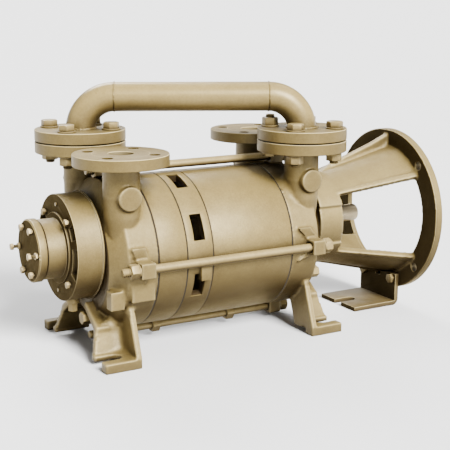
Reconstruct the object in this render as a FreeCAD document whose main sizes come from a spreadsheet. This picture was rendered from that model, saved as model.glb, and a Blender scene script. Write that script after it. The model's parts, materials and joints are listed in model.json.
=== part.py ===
import FreeCAD, Part
import math
import os
from types import SimpleNamespace

import Sketcher

# Two-stage liquid ring vacuum pump. Millimetres. The origin is the centre of the motor mounting
# face, on the shaft axis. X runs from the bearing end to the motor end, Y away from the side
# with the outlet flange, Z up.

SIZES = (
    ("shaft_height", 175, "floor to shaft axis"),
    ("casing_drop", 17.5, "casing axis below the shaft axis"),
    ("casing_radius", 124, "outside of the casings"),
    ("casing_wall", 16, "wall of the end casings"),
    ("stage_wall", 18, "wall of the stage casings"),
    ("seat_rim", 9, "rim round the seats for port plates and end discs"),
    ("seat_clearance", 0.3, "radial room round a seated plate"),
    ("plate_thickness", 10, "port plates and end discs"),
    ("end_wall", 10, "outer wall of an end casing"),
    ("web_thickness", 10, "wall between the two chambers of an end casing"),
    ("lantern_length", 227, "motor face to the casing end"),
    ("shoulder_length", 22, "conical shoulder of an end casing"),
    ("shoulder_radius", 92, "flat end of the shoulder"),
    ("casing_width", 50, "straight part of an end casing"),
    ("stage_first_length", 150, "first stage casing"),
    ("stage_second_length", 50, "second stage casing"),
    ("ring_length", 44, "windowed ring between the stages"),
    ("ring_wall", 13, "wall of the windowed ring"),
    ("gasket_thickness", 1, "flat gasket at a casing joint"),
    ("window_length", 20, "window of the ring, along the shaft"),
    ("flange_setback", 42, "casing joint to the flange centre"),
    ("neck_offset", 81, "flange centre beside the shaft axis"),
    ("flange_top", 156.5, "flange face above the shaft axis"),
    ("flange_radius", 75, "DN 40 PN 16 flange"),
    ("flange_thickness", 18, "DN 40 PN 16 flange"),
    ("flange_circle", 55, "radius of the flange's bolt circle"),
    ("flange_hole", 9, "radius of the flange's bolt holes"),
    ("neck_radius", 29, "outside of a neck"),
    ("port_bore", 20, "bore of a neck"),
    ("ball_height", 90, "centre of the neck's round foot above the shaft axis"),
    ("ball_radius", 29.5, "round foot of a neck"),
    ("boss_radius", 19.5, "round boss on the side of a neck"),
    ("boss_reach", 116, "face of that boss from the shaft axis"),
    ("rod_room", 12, "tie rod axis, from the casings' outside"),
    ("rod_radius", 7, "M14 tie rod"),
    ("rod_clearance", 0.5, "radial room of a tie rod in its lug"),
    ("rod_stub", 13, "tie rod past its nut at the bearing end"),
    ("rod_stub_short", 3, "tie rod past its nut at the motor end"),
    ("lug_width", 25, "tie rod lug, across"),
    ("lug_length", 24, "tie rod lug, along the rod"),
    ("lug_margin", 12, "lug past the rod's centre"),
    ("lug_end_suction", 50, "joint to the outer end of a suction casing lug"),
    ("lug_end_discharge", 40, "joint to the outer end of a discharge casing lug"),
    ("wedge_height", 20, "wedge beside a lug, round the casing"),
    ("spacer_length", 13, "hexagon spacer on the bottom tie rod"),
    ("foot_setback", 35, "casing joint to the foot's upright plate"),
    ("foot_length", 62, "foot along the shaft"),
    ("foot_inner", 78, "foot's inner side from the shaft axis"),
    ("foot_outer", 135, "foot's outer side from the shaft axis"),
    ("foot_thickness", 16, "foot pad"),
    ("foot_relief", 7, "step under the inner part of a foot"),
    ("foot_web", 10, "plates that carry a foot"),
    ("foot_lean", 22, "how far the web's top leans towards the shaft"),
    ("slot_width", 24, "open slot of a foot"),
    ("hub_radius", 79.6, "lantern hub"),
    ("hub_length", 63, "lantern hub"),
    ("hub_screw_margin", 13.6, "lantern screws, inside the hub's outside"),
    ("motor_flange_radius", 150, "FF265 flange"),
    ("motor_flange_thickness", 14.5, "FF265 flange"),
    ("motor_bolt_margin", 17.5, "motor's bolt circle, inside the flange's outside"),
    ("motor_hole", 7.25, "radius of the motor's bolt holes"),
    ("spigot_margin", 35, "motor spigot recess, inside the flange's outside"),
    ("spigot_depth", 6, "motor spigot recess"),
    ("spigot_shoulder", 4.5, "opening of the motor flange, inside the spigot recess"),
    ("arm_thickness", 9, "wall of the lantern's arms"),
    ("arm_rib_thickness", 12, "edge rib of the lantern's arms"),
    ("fin_thickness", 10, "middle fin of the lantern's arms"),
    ("support_thickness", 8, "bent plate of the support foot"),
    ("support_half_width", 53, "bent plate, to each side"),
    ("support_bend", 12, "outer radius of the plate's bend"),
    ("support_length", 92, "bent plate, along the floor"),
    ("shaft_end_gap", 84, "motor face to the shaft end"),
    ("shaft_end_radius", 15, "coupling end of the shaft"),
    ("drive_seat_radius", 17.5, "seat of the 35 x 72 x 17 bearing"),
    ("seal_seat_radius", 20, "shaft under the seals"),
    ("impeller_seat_radius", 22.5, "shaft under the impellers"),
    ("outer_seat_radius", 15, "seat of the 30 x 62 x 16 bearing"),
    ("impeller_radius", 86, "over the blades"),
    ("impeller_hub_radius", 38, "hub of an impeller"),
    ("impeller_side_gap", 0.5, "impeller to a plate"),
    ("blade_thickness", 5, "impeller blade"),
    ("blade_curve", 60, "radius of a blade's curve"),
    ("blade_centre", 66, "centre of that curve from the shaft axis"),
    ("sleeve_radius", 27, "shaft sleeves"),
    ("running_gap", 0.5, "radial room of a sleeve in a plate"),
    ("fit_gap", 0.05, "radial room of a sliding fit"),
    ("seal_bore", 36, "bore of a casing's seal chamber"),
    ("seal_hub", 48, "outside of a casing's seal chamber"),
    ("seal_chamber", 64, "joint to the end of the seal chamber"),
    ("bracket_length", 46, "bearing bracket"),
    ("bracket_radius", 85.7, "bearing bracket"),
    ("bracket_lip", 88, "raised rim at the foot of the bracket"),
    ("bracket_cavity", 60, "inside of the bracket"),
    ("bracket_wall", 12, "front wall of the bracket"),
    ("pocket_depth", 30, "dark pockets in the bracket's front"),
    ("bracket_screw_circle", 70, "radius of the bracket's screw circle"),
    ("cartridge_radius", 48, "bearing cartridge"),
    ("cartridge_lip", 57, "flange of the bearing cartridge"),
    ("cartridge_spigot", 44, "cartridge in the bracket"),
    ("cartridge_reach", 33, "cartridge in front of the bracket"),
    ("cartridge_depth", 20, "cartridge inside the bracket"),
    ("cover_radius", 50.4, "end cover"),
    ("cover_thickness", 14.5, "end cover"),
    ("cover_screw_circle", 40, "radius of the end cover's screw circle"),
    ("jack_screw_reach", 16, "jacking screw in front of the end cover"),
    ("drive_cover_radius", 52, "bearing cover in the lantern"),
    ("drive_cover_thickness", 8, "bearing cover in the lantern"),
    ("pipe_radius", 24.15, "48.3 mm pipe"),
    ("pipe_wall", 2.6, "wall of that pipe"),
    ("elbow_radius", 57, "bends of that pipe"),
    ("pipe_height", 228.5, "straight run above the shaft axis"),
    ("pipe_gasket_thickness", 2, "flat gasket at a pipe flange"),
    ("washer_thickness", 2.5, "plain washers"),
    ("dowel_radius", 3, "dowel pin"),
    ("small_screw_radius", 3, "M6"),
    ("small_screw_flats", 10, "M6"),
    ("small_screw_head", 4.5, "M6"),
    ("small_screw_collar", 2.5, "spring washer under an M6 head"),
    ("medium_screw_radius", 4, "M8"),
    ("medium_screw_flats", 13, "M8"),
    ("medium_screw_head", 5.5, "M8"),
    ("support_screw_radius", 5, "M10"),
    ("support_screw_flats", 16, "M10"),
    ("support_screw_head", 6.4, "M10"),
    ("rod_nut_flats", 22, "M14"),
    ("rod_nut_thickness", 13, "M14"),
    ("flange_bolt_radius", 8, "M16"),
    ("flange_bolt_flats", 24, "M16"),
    ("flange_bolt_head", 10, "M16"),
    ("flange_nut_thickness", 13, "M16"),
)

doc = FreeCAD.newDocument("liquid_ring_pump")
NODES = []


class Length:
    """A length as an expression on the sheet's cells, with its value beside it."""

    def __init__(self, text, value):
        self.text = text
        self.value = value

    def __add__(self, other):
        other = length(other)
        return Length(f"({self.text} + {other.text})", self.value + other.value)

    def __sub__(self, other):
        other = length(other)
        return Length(f"({self.text} - {other.text})", self.value - other.value)

    def __mul__(self, factor):
        return Length(f"({self.text} * ({factor:.9f}))", self.value * factor)

    def __truediv__(self, divisor):
        return self * (1 / divisor)

    def __neg__(self):
        return self * -1

    def __radd__(self, other):
        return length(other) + self

    def __rsub__(self, other):
        return length(other) - self

    __rmul__ = __mul__


def length(value):
    """A plain number as a Length; a Length stays as it is."""
    if isinstance(value, Length):
        return value
    return Length(f"({value:.9f})", value)


def fill_sheet():
    """The driving sizes, one per row: what it is, then its value under its alias."""
    sheet = doc.addObject("Spreadsheet::Sheet", "Sizes")
    for row, (alias, value, note) in enumerate(SIZES, start=1):
        sheet.set(f"A{row}", note)
        sheet.set(f"B{row}", str(value))
        sheet.setAlias(f"B{row}", alias)
    doc.recompute()
    return SimpleNamespace(**{alias: Length(f"Sizes.{alias}", value) for alias, value, _ in SIZES})


sz = fill_sheet()

# Stations along the shaft, from the motor end to the bearing end
x_ring_back = -sz.motor_flange_thickness
x_casing_end = -sz.lantern_length
x_hub_face = x_casing_end + sz.hub_length
x_suction = x_casing_end - sz.shoulder_length - sz.casing_width
x_stage_first = x_suction - sz.gasket_thickness
x_stage_first_end = x_stage_first - sz.stage_first_length
x_ring = x_stage_first_end - sz.gasket_thickness
x_ring_end = x_ring - sz.ring_length
x_stage_second = x_ring_end - sz.gasket_thickness
x_stage_second_end = x_stage_second - sz.stage_second_length
x_discharge = x_stage_second_end - sz.gasket_thickness
x_bracket = x_discharge - sz.casing_width - sz.shoulder_length
x_bracket_front = x_bracket - sz.bracket_length
x_cartridge_front = x_bracket_front - sz.cartridge_reach
x_cover_back = x_cartridge_front - sz.gasket_thickness
x_cover_front = x_cover_back - sz.cover_thickness
x_suction_flange = x_suction + sz.flange_setback
x_discharge_flange = x_discharge - sz.flange_setback

# Radii that follow the outsides of the casings, the lantern hub and the motor flange
casing_cavity = sz.casing_radius - sz.casing_wall
stage_bore = sz.casing_radius - sz.stage_wall
plate_seat = sz.casing_radius - sz.seat_rim
ring_bore = sz.casing_radius - sz.ring_wall
rod_circle = sz.casing_radius + sz.rod_room
hub_screw_circle = sz.hub_radius - sz.hub_screw_margin
motor_circle = sz.motor_flange_radius - sz.motor_bolt_margin
spigot_radius = sz.motor_flange_radius - sz.spigot_margin
opening_radius = spigot_radius - sz.spigot_shoulder

# Heights
z_floor = -sz.shaft_height
z_casing = -sz.casing_drop
z_flange_bottom = sz.flange_top - sz.flange_thickness
z_pipe_flange = sz.flange_top + sz.pipe_gasket_thickness
z_pipe_flange_top = z_pipe_flange + sz.flange_thickness

TIE_ROD_ANGLES = (0, 90, 180, 270)
DIAGONALS = (45, 135, 225, 315)
WINDOW_ANGLES = (-20, 25, 70, 110, 155, 200)
WINDOW_SWEEP = 20
ARM_SWEEP = 104
BLADES = 12

# Local Z runs along the named axis; along X, local X points to +Y and local Y to +Z
ALONG = {
    "x": FreeCAD.Rotation(FreeCAD.Vector(1, 0, 0), 90) * FreeCAD.Rotation(FreeCAD.Vector(0, 1, 0), 90),
    "y": FreeCAD.Rotation(FreeCAD.Vector(1, 0, 0), -90),
    "z": FreeCAD.Rotation(),
}


def cos(angle):
    return math.cos(math.radians(angle))


def sin(angle):
    return math.sin(math.radians(angle))


def node(label, thing):
    """The finished sub-part, under the name of its file."""
    thing.Label = label
    NODES.append(thing)
    return thing


def bind(thing, **lengths):
    for name, value in lengths.items():
        thing.setExpression(name, length(value).text)


def place(thing, rotation, x, y, z):
    thing.Placement = FreeCAD.Placement(FreeCAD.Vector(), rotation)
    for axis, value in zip("xyz", (x, y, z)):
        thing.setExpression(f"Placement.Base.{axis}", length(value).text)


def in_order(start, end):
    start, end = length(start), length(end)
    return (start, end) if start.value <= end.value else (end, start)


def at_low_end(along, low, across, up):
    return {"x": (low, across, up), "y": (across, low, up), "z": (across, up, low)}[along]


def turned_to(along, turn):
    return ALONG[along] * FreeCAD.Rotation(FreeCAD.Vector(0, 0, 1), turn)


def rod(along, radius, start, end, across=0, up=0, turn=0, sweep=360):
    """Round bar, or a sector of one, from start to end on the named axis."""
    low, high = in_order(start, end)
    bar = doc.addObject("Part::Cylinder", "Rod")
    bind(bar, Radius=radius, Height=high - low)
    bar.Angle = sweep
    place(bar, turned_to(along, turn), *at_low_end(along, low, across, up))
    return bar


def hexagon(along, flats, start, end, across=0, up=0, turn=0):
    """Six-sided bar, by its size across flats."""
    low, high = in_order(start, end)
    bar = doc.addObject("Part::Prism", "Hexagon")
    bar.Polygon = 6
    bind(bar, Circumradius=flats / math.sqrt(3), Height=high - low)
    place(bar, turned_to(along, turn), *at_low_end(along, low, across, up))
    return bar


def slanted_rod(radius, reach, x, y, z, angle):
    """Round bar from a point, across X, at an angle from +Y towards +Z."""
    bar = doc.addObject("Part::Cylinder", "Slanted")
    bind(bar, Radius=radius, Height=reach)
    place(bar, FreeCAD.Rotation(FreeCAD.Vector(1, 0, 0), angle - 90), x, y, z)
    return bar


def taper(radius_low, radius_high, low, high, turn=0, sweep=360, up=0):
    """Cone along X, or a sector of one."""
    cone = doc.addObject("Part::Cone", "Taper")
    bind(cone, Radius1=radius_low, Radius2=radius_high, Height=high - low)
    cone.Angle = sweep
    place(cone, turned_to("x", turn), low, 0, up)
    return cone


def block(x_pair, y_pair, z_pair):
    """Box between two values on each axis, in any order."""
    box = doc.addObject("Part::Box", "Block")
    lows = []
    for name, pair in zip(("Length", "Width", "Height"), (x_pair, y_pair, z_pair)):
        low, high = in_order(*pair)
        bind(box, **{name: high - low})
        lows.append(low)
    place(box, FreeCAD.Rotation(), *lows)
    return box


def radial_block(x_pair, inner, outer, width, angle, up):
    """Box that stands out from an axis along X, at an angle from +Y towards +Z."""
    low, high = in_order(*x_pair)
    box = doc.addObject("Part::Box", "Radial")
    bind(box, Length=high - low, Width=outer - inner, Height=width)
    y = inner * cos(angle) + width * (sin(angle) / 2)
    z = inner * sin(angle) - width * (cos(angle) / 2) + up
    place(box, FreeCAD.Rotation(FreeCAD.Vector(1, 0, 0), angle), low, y, z)
    return box


def ball(radius, x, y, z):
    sphere = doc.addObject("Part::Sphere", "Ball")
    bind(sphere, Radius=radius)
    place(sphere, FreeCAD.Rotation(), x, y, z)
    return sphere


def torus(ring_radius, radius, x, y, z, rotation=ALONG["x"], sweep=360):
    ring = doc.addObject("Part::Torus", "Torus")
    bind(ring, Radius1=ring_radius, Radius2=radius)
    ring.Angle3 = sweep
    place(ring, rotation, x, y, z)
    return ring


def fuse(*things):
    joined = doc.addObject("Part::MultiFuse", "Fuse")
    joined.Shapes = list(things)
    return joined


def cut(base, *tools):
    rest = doc.addObject("Part::Cut", "Cut")
    rest.Base = base
    rest.Tool = tools[0] if len(tools) == 1 else fuse(*tools)
    return rest


def common(first, second):
    both = doc.addObject("Part::Common", "Common")
    both.Base = first
    both.Tool = second
    return both


def group(things):
    compound = doc.addObject("Part::Compound", "Group")
    compound.Links = list(things)
    return compound


def tube(along, outer, inner, start, end, across=0, up=0):
    return cut(rod(along, outer, start, end, across, up), rod(along, inner, start, end, across, up))


def outline_sketch(body, plane_role, points):
    """Closed outline of straight lines on one of the body's own planes, every corner bound."""
    plane = next(item for item in body.Origin.OriginFeatures if item.Role == plane_role)
    sketch = body.newObject("Sketcher::SketchObject", "Outline")
    sketch.AttachmentSupport = (plane, [""])
    sketch.MapMode = "FlatFace"
    points = [(length(first), length(second)) for first, second in points]
    corners = [FreeCAD.Vector(first.value, second.value, 0) for first, second in points]
    for index, corner in enumerate(corners):
        sketch.addGeometry(Part.LineSegment(corner, corners[(index + 1) % len(corners)]))
    for index in range(len(corners)):
        sketch.addConstraint(Sketcher.Constraint("Coincident", index, 2, (index + 1) % len(corners), 1))
    for index, (first, second) in enumerate(points):
        for kind, value in (("DistanceX", first), ("DistanceY", second)):
            number = sketch.addConstraint(Sketcher.Constraint(kind, -1, 1, index, 1, value.value))
            sketch.setExpression(f"Constraints[{number}]", value.text)
    return sketch


def turned(points, up=0):
    """Piece turned about an axis along X, from its outline as (x, radius) points."""
    body = doc.addObject("PartDesign::Body", "Turned")
    sketch = outline_sketch(body, "XZ_Plane", points)
    revolution = body.newObject("PartDesign::Revolution", "Revolution")
    revolution.Profile = sketch
    revolution.ReferenceAxis = (sketch, ["H_Axis"])
    revolution.Angle = 360
    sketch.Visibility = False
    place(body, FreeCAD.Rotation(), 0, 0, up)
    return body


def plate(plane_role, points, thickness, x=0, y=0, z=0):
    """Flat piece from its outline, half its thickness to each side of the plane."""
    body = doc.addObject("PartDesign::Body", "Plate")
    sketch = outline_sketch(body, plane_role, points)
    pad = body.newObject("PartDesign::Pad", "Pad")
    pad.Profile = sketch
    pad.Midplane = True
    bind(pad, Length=thickness)
    sketch.Visibility = False
    place(body, FreeCAD.Rotation(), x, y, z)
    return body


def on_circle(radius, angles):
    """Points (y, z) on a circle about the shaft axis."""
    return [(radius * cos(angle), radius * sin(angle)) for angle in angles]


def x_screw(face, out, across, up, radius, flats, head, shank, collar=0):
    """Hexagon screw along X, with its head off the face by a collar, on the side that out names."""
    seat = face + length(collar) * out
    body = hexagon("x", flats, seat, seat + head * out, across, up, turn=30)
    parts = [body, rod("x", radius, face - shank * out, seat + head * (out / 2), across, up)]
    if collar:
        parts.append(rod("x", radius + 1.2, face, seat, across, up))
    return fuse(*parts)


def nut(along, flats, bore, start, end, across, up, turn=0):
    return cut(hexagon(along, flats, start, end, across, up, turn), rod(along, bore, start, end, across, up))


# End casings

def casing_neck(flange_x, side):
    """Neck with its round foot, side boss and flange, on one side of the casing."""
    y = sz.neck_offset * side
    return [
        rod("z", sz.neck_radius, sz.ball_height, z_flange_bottom + 2, flange_x, y),
        ball(sz.ball_radius, flange_x, y, sz.ball_height),
        rod("y", sz.boss_radius, y, sz.boss_reach * side, flange_x, sz.ball_height),
        rod("z", sz.flange_radius, z_flange_bottom, sz.flange_top, flange_x, y),
    ]


def flange_holes(flange_x, flange_y, low, high):
    offset = sz.flange_circle * cos(45)
    return [
        rod("z", sz.flange_hole, low, high, flange_x + offset * across, flange_y + offset * along)
        for across in (-1, 1)
        for along in (-1, 1)
    ]


def casing_foot(at, side):
    """Pad, upright plate and web of one foot."""
    plate_depth = sz.foot_setback + sz.foot_web / 2
    pad_end = sz.foot_setback + sz.foot_length
    top = z_floor + sz.foot_thickness
    upright = plate(
        "YZ_Plane",
        [
            (sz.foot_inner * side, z_floor + sz.foot_relief),
            (sz.foot_outer * side, z_floor + sz.foot_relief),
            (sz.foot_outer * side, top),
            ((sz.foot_outer - 32) * side, top + 87),
            ((sz.foot_inner - 12) * side, top + 87),
            ((sz.foot_inner - sz.foot_lean) * side, top + 50),
        ],
        sz.foot_web,
        x=at(plate_depth),
    )
    web = plate(
        "XZ_Plane",
        [
            (at(sz.foot_setback + 1), top - 3),
            (at(pad_end - 2), top - 3),
            (at(pad_end - 2), top),
            (at(pad_end - 11), top + 40),
            (at(pad_end - 45), top + 56),
            (at(sz.foot_setback + 1), top + 56),
        ],
        sz.foot_web * 6,
        y=(sz.foot_inner - 10) * side,
    )
    slope = plate(
        "YZ_Plane",
        [
            (sz.foot_inner * side, top - 4),
            ((sz.foot_inner + sz.foot_web) * side, top - 4),
            ((sz.foot_inner + sz.foot_web - sz.foot_lean) * side, top + 57),
            ((sz.foot_inner - sz.foot_lean) * side, top + 57),
        ],
        sz.foot_length + 10,
        x=at(sz.foot_setback + sz.foot_length / 2),
    )
    web = common(web, slope)
    strut = plate(
        "YZ_Plane",
        [
            ((sz.foot_inner - 3) * side, top + 28),
            ((sz.foot_inner - 3) * side, top + 40),
            ((sz.foot_inner - 50) * side, top + 72),
            ((sz.foot_inner - 56) * side, top + 62),
            ((sz.foot_inner - 12) * side, top + 30),
        ],
        sz.foot_length - 27,
        x=at(pad_end - 11 - (sz.foot_length - 27) / 2),
    )
    pad = block(
        (at(sz.foot_setback), at(pad_end)),
        (sz.foot_inner * side, sz.foot_outer * side),
        (z_floor, top),
    )
    return [pad, upright, web, strut]


def casing_foot_cuts(at, side):
    """Open slot and underside step of one foot."""
    slot_centre = (sz.foot_inner + sz.foot_outer) / 2 * side - 3 * side
    slot_root = sz.foot_setback + sz.foot_length / 2 + 4
    pad_end = sz.foot_setback + sz.foot_length
    top = z_floor + sz.foot_thickness + 1
    slot = block(
        (at(slot_root), at(pad_end + 1)),
        (slot_centre - sz.slot_width / 2, slot_centre + sz.slot_width / 2),
        (z_floor - 1, top),
    )
    root = rod("z", sz.slot_width / 2, z_floor - 1, top, at(slot_root), slot_centre)
    relief = block(
        (at(sz.foot_setback - 1), at(pad_end + 1)),
        (sz.foot_inner * side - side, (sz.foot_inner + 35.5) * side),
        (z_floor - 1, z_floor + sz.foot_relief),
    )
    return [slot, root, relief]


def side_wedges(at, lug_end, wedge_top, side):
    """Wedges above and below the lug of a side tie rod; wedge_top is the depth of the wide end."""
    lug_start = lug_end - sz.lug_length
    lug_top = z_casing + sz.lug_width / 2
    lug_foot = z_casing - sz.lug_width / 2
    y = (sz.casing_radius - 6) * side
    upper = [
        (at(wedge_top), lug_top + sz.wedge_height),
        (at(wedge_top + sz.lug_length), lug_top + sz.wedge_height),
        (at(lug_end - 1), lug_top - 1),
        (at(lug_start + 1), lug_top - 1),
    ]
    lower = [
        (at(wedge_top), lug_foot - 12),
        (at(lug_start + 1), lug_foot + 3),
        (at(lug_end - 3), lug_foot + 3),
        (at(lug_start + 5), lug_foot - 6),
    ]
    return [plate("XZ_Plane", upper, length(16), y=y), plate("XZ_Plane", lower, length(16), y=y)]


def rod_lug(at, lug_end, angle):
    """Lug of one tie rod."""
    return radial_block(
        (at(lug_end - sz.lug_length), at(lug_end)),
        casing_cavity + 4,
        rod_circle + sz.lug_margin,
        sz.lug_width,
        angle,
        z_casing,
    )


def end_casing(label, joint, out, lug_end, wedge_top, pads, holes):
    """Casing with two chambers, two necks, four lugs and two feet, built outwards from its joint."""
    def at(depth):
        return joint + length(depth) * out

    full = sz.casing_width + sz.shoulder_length
    inner_end = full - sz.end_wall
    flange_x = at(sz.flange_setback)
    shell = turned(
        [
            (at(0), 0),
            (at(0), sz.casing_radius),
            (at(sz.casing_width), sz.casing_radius),
            (at(full), sz.shoulder_radius),
            (at(full), 0),
        ],
        up=z_casing,
    )
    cavity = turned(
        [
            (at(-1), 0),
            (at(-1), plate_seat),
            (at(sz.plate_thickness), plate_seat),
            (at(sz.plate_thickness), casing_cavity),
            (at(sz.casing_width - 2), casing_cavity),
            (at(inner_end), sz.shoulder_radius - 12),
            (at(inner_end), 0),
        ],
        up=z_casing,
    )
    outside = [shell]
    for side in (-1, 1):
        outside += casing_neck(flange_x, side)
        outside += casing_foot(at, side)
        outside += side_wedges(at, lug_end, wedge_top, side)
    outside += pads
    outside += [rod_lug(at, lug_end, angle) for angle in TIE_ROD_ANGLES]
    hollow = cut(fuse(*outside), cavity)
    web_half = sz.web_thickness / 2
    web_room = block(
        (at(sz.plate_thickness), at(full - 1)),
        (-web_half, web_half),
        (z_casing - sz.casing_radius, z_casing + sz.casing_radius),
    )
    web = common(web_room, shell)
    hub = rod("x", sz.seal_hub, at(sz.plate_thickness), at(full - 1))
    tools = [
        rod("x", sz.seal_bore, at(sz.plate_thickness - 1), at(sz.seal_chamber)),
        rod("x", sz.seal_seat_radius + 4, at(0), at(full + 1)),
    ]
    for side in (-1, 1):
        y = sz.neck_offset * side
        inward = math.degrees(math.atan2((z_casing - sz.ball_height).value, -y.value))
        tools.append(rod("z", sz.port_bore, sz.ball_height, sz.flange_top + 1, flange_x, y))
        tools.append(ball(sz.port_bore, flange_x, y, sz.ball_height))
        tools.append(slanted_rod(sz.port_bore - 4, sz.ball_height - 40, flange_x, y, sz.ball_height, inward))
        tools += flange_holes(flange_x, y, z_flange_bottom - 1, sz.flange_top + 1)
        tools += casing_foot_cuts(at, side)
    hole = sz.rod_radius + sz.rod_clearance
    for y, z in on_circle(rod_circle, TIE_ROD_ANGLES):
        tools.append(rod("x", hole, at(lug_end - sz.lug_length - 1), at(lug_end + 1), y, z + z_casing))
    return node(label, cut(fuse(hollow, web, hub), *tools, *holes))


def end_casings():
    bracket_holes = [
        rod("x", sz.small_screw_radius, x_bracket - 1, x_bracket + 10, y, z)
        for y, z in on_circle(sz.bracket_screw_circle, DIAGONALS)
    ]
    lantern_holes = [
        rod("x", sz.medium_screw_radius, x_casing_end - 10, x_casing_end + 1, y, z)
        for y, z in on_circle(hub_screw_circle, DIAGONALS)
    ]
    near_pads = [
        rod("x", length(13), x_bracket - 2, x_bracket + 30, -22, -116),
        block((x_discharge - 5, x_discharge - 45), (-100, -sz.casing_radius + 2.5), (-73, -45)),
        block((x_discharge - 53, x_discharge - 76), (-92, -sz.casing_radius + 12), (-83, -54)),
    ]
    end_casing("suction_casing", x_suction, 1, sz.lug_end_suction, length(9), [], lantern_holes)
    end_casing("discharge_casing", x_discharge, -1, sz.lug_end_discharge, length(23), near_pads, bracket_holes)


# Stage casings, windowed ring, plates and gaskets

def stage_casings():
    for label, start, end in (
        ("stage_1_casing", x_stage_first, x_stage_first_end),
        ("stage_2_casing", x_stage_second, x_stage_second_end),
    ):
        node(label, tube("x", sz.casing_radius, stage_bore, start, end, up=z_casing))


def intermediate_ring():
    seat_inner = x_ring - sz.plate_thickness
    seat_outer = x_ring_end + sz.plate_thickness
    ring = turned(
        [
            (x_ring, plate_seat),
            (x_ring, sz.casing_radius),
            (x_ring_end, sz.casing_radius),
            (x_ring_end, plate_seat),
            (seat_outer, plate_seat),
            (seat_outer, ring_bore),
            (seat_inner, ring_bore),
            (seat_inner, plate_seat),
        ],
        up=z_casing,
    )
    rests = [
        block(
            (x_ring - 6, x_ring - 24),
            ((plate_seat + 1) * side, (rod_circle - 6) * side),
            (z_casing - sz.rod_radius - sz.rod_clearance, z_casing - 32),
        )
        for side in (-1, 1)
    ]
    middle = (x_ring + x_ring_end) / 2
    windows = [
        rod("x", sz.casing_radius + 10, middle - sz.window_length / 2, middle + sz.window_length / 2,
            up=z_casing, turn=angle - WINDOW_SWEEP / 2, sweep=WINDOW_SWEEP)
        for angle in WINDOW_ANGLES
    ]
    node("intermediate_ring", fuse(cut(ring, *windows), *rests))


def port(inner, outer, start, end, turn, sweep):
    """Crescent opening of a port plate, about the shaft axis."""
    return cut(rod("x", outer, start, end, turn=turn, sweep=sweep), rod("x", inner, start, end))


def plates():
    disc_radius = plate_seat - sz.seat_clearance
    bore = sz.sleeve_radius + sz.running_gap
    for label, start, out in (
        ("stage_1_port_plate", x_suction, 1),
        ("stage_2_port_plate", x_discharge, -1),
    ):
        end = start + sz.plate_thickness * out
        disc = rod("x", disc_radius, start, end, up=z_casing)
        low, high = in_order(start, end)
        inlet = port(sz.seal_hub + 2, sz.seal_hub + 20, low - 1, high + 1, -50, 110)
        outlet = port(sz.seal_hub + 2, sz.seal_hub + 14, low - 1, high + 1, 130, 70)
        node(label, cut(disc, inlet, outlet, rod("x", bore, low - 1, high + 1)))
    for label, start, out in (
        ("stage_1_end_disc", x_ring, -1),
        ("stage_2_end_disc", x_ring_end, 1),
    ):
        end = start + sz.plate_thickness * out
        disc = rod("x", disc_radius, start, end, up=z_casing)
        node(label, cut(disc, rod("x", bore, *in_order(start, end))))
    gaskets = [
        tube("x", sz.casing_radius - 0.5, plate_seat + 1, start, start - sz.gasket_thickness, up=z_casing)
        for start in (x_suction, x_stage_first_end, x_ring_end, x_stage_second_end)
    ]
    node("casing_gaskets", group(gaskets))


# Tie rods

def tie_rods():
    right_face = x_suction + sz.lug_end_suction
    left_face = x_discharge - sz.lug_end_discharge
    rods, nuts, washers = [], [], []
    washer_radius = rod_circle - sz.casing_radius - sz.seat_clearance
    for angle in TIE_ROD_ANGLES:
        y = rod_circle * cos(angle)
        up = rod_circle * sin(angle) + z_casing
        for face, out in ((right_face, 1), (left_face, -1)):
            outer = face + sz.washer_thickness * out
            end = outer + sz.rod_nut_thickness * out
            washers.append(tube("x", washer_radius, sz.rod_radius, face, outer, y, up))
            nuts.append(nut("x", sz.rod_nut_flats, sz.rod_radius, outer, end, y, up, turn=30 + angle))
        past = sz.washer_thickness + sz.rod_nut_thickness
        rods.append(rod("x", sz.rod_radius, left_face - past - sz.rod_stub,
                        right_face + past + sz.rod_stub_short, y, up))
    node("tie_rods", group(rods))
    node("tie_rod_nuts", group(nuts))
    node("tie_rod_washers", group(washers))
    bottom = z_casing - rod_circle
    spacers = [
        nut("x", sz.rod_nut_flats, sz.rod_radius, start, start + sz.spacer_length, 0, bottom)
        for start in (x_stage_second - 7, x_stage_first - 59)
    ]
    node("tie_rod_spacers", group(spacers))


# Bearing end: bracket, cartridge, cover

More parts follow.
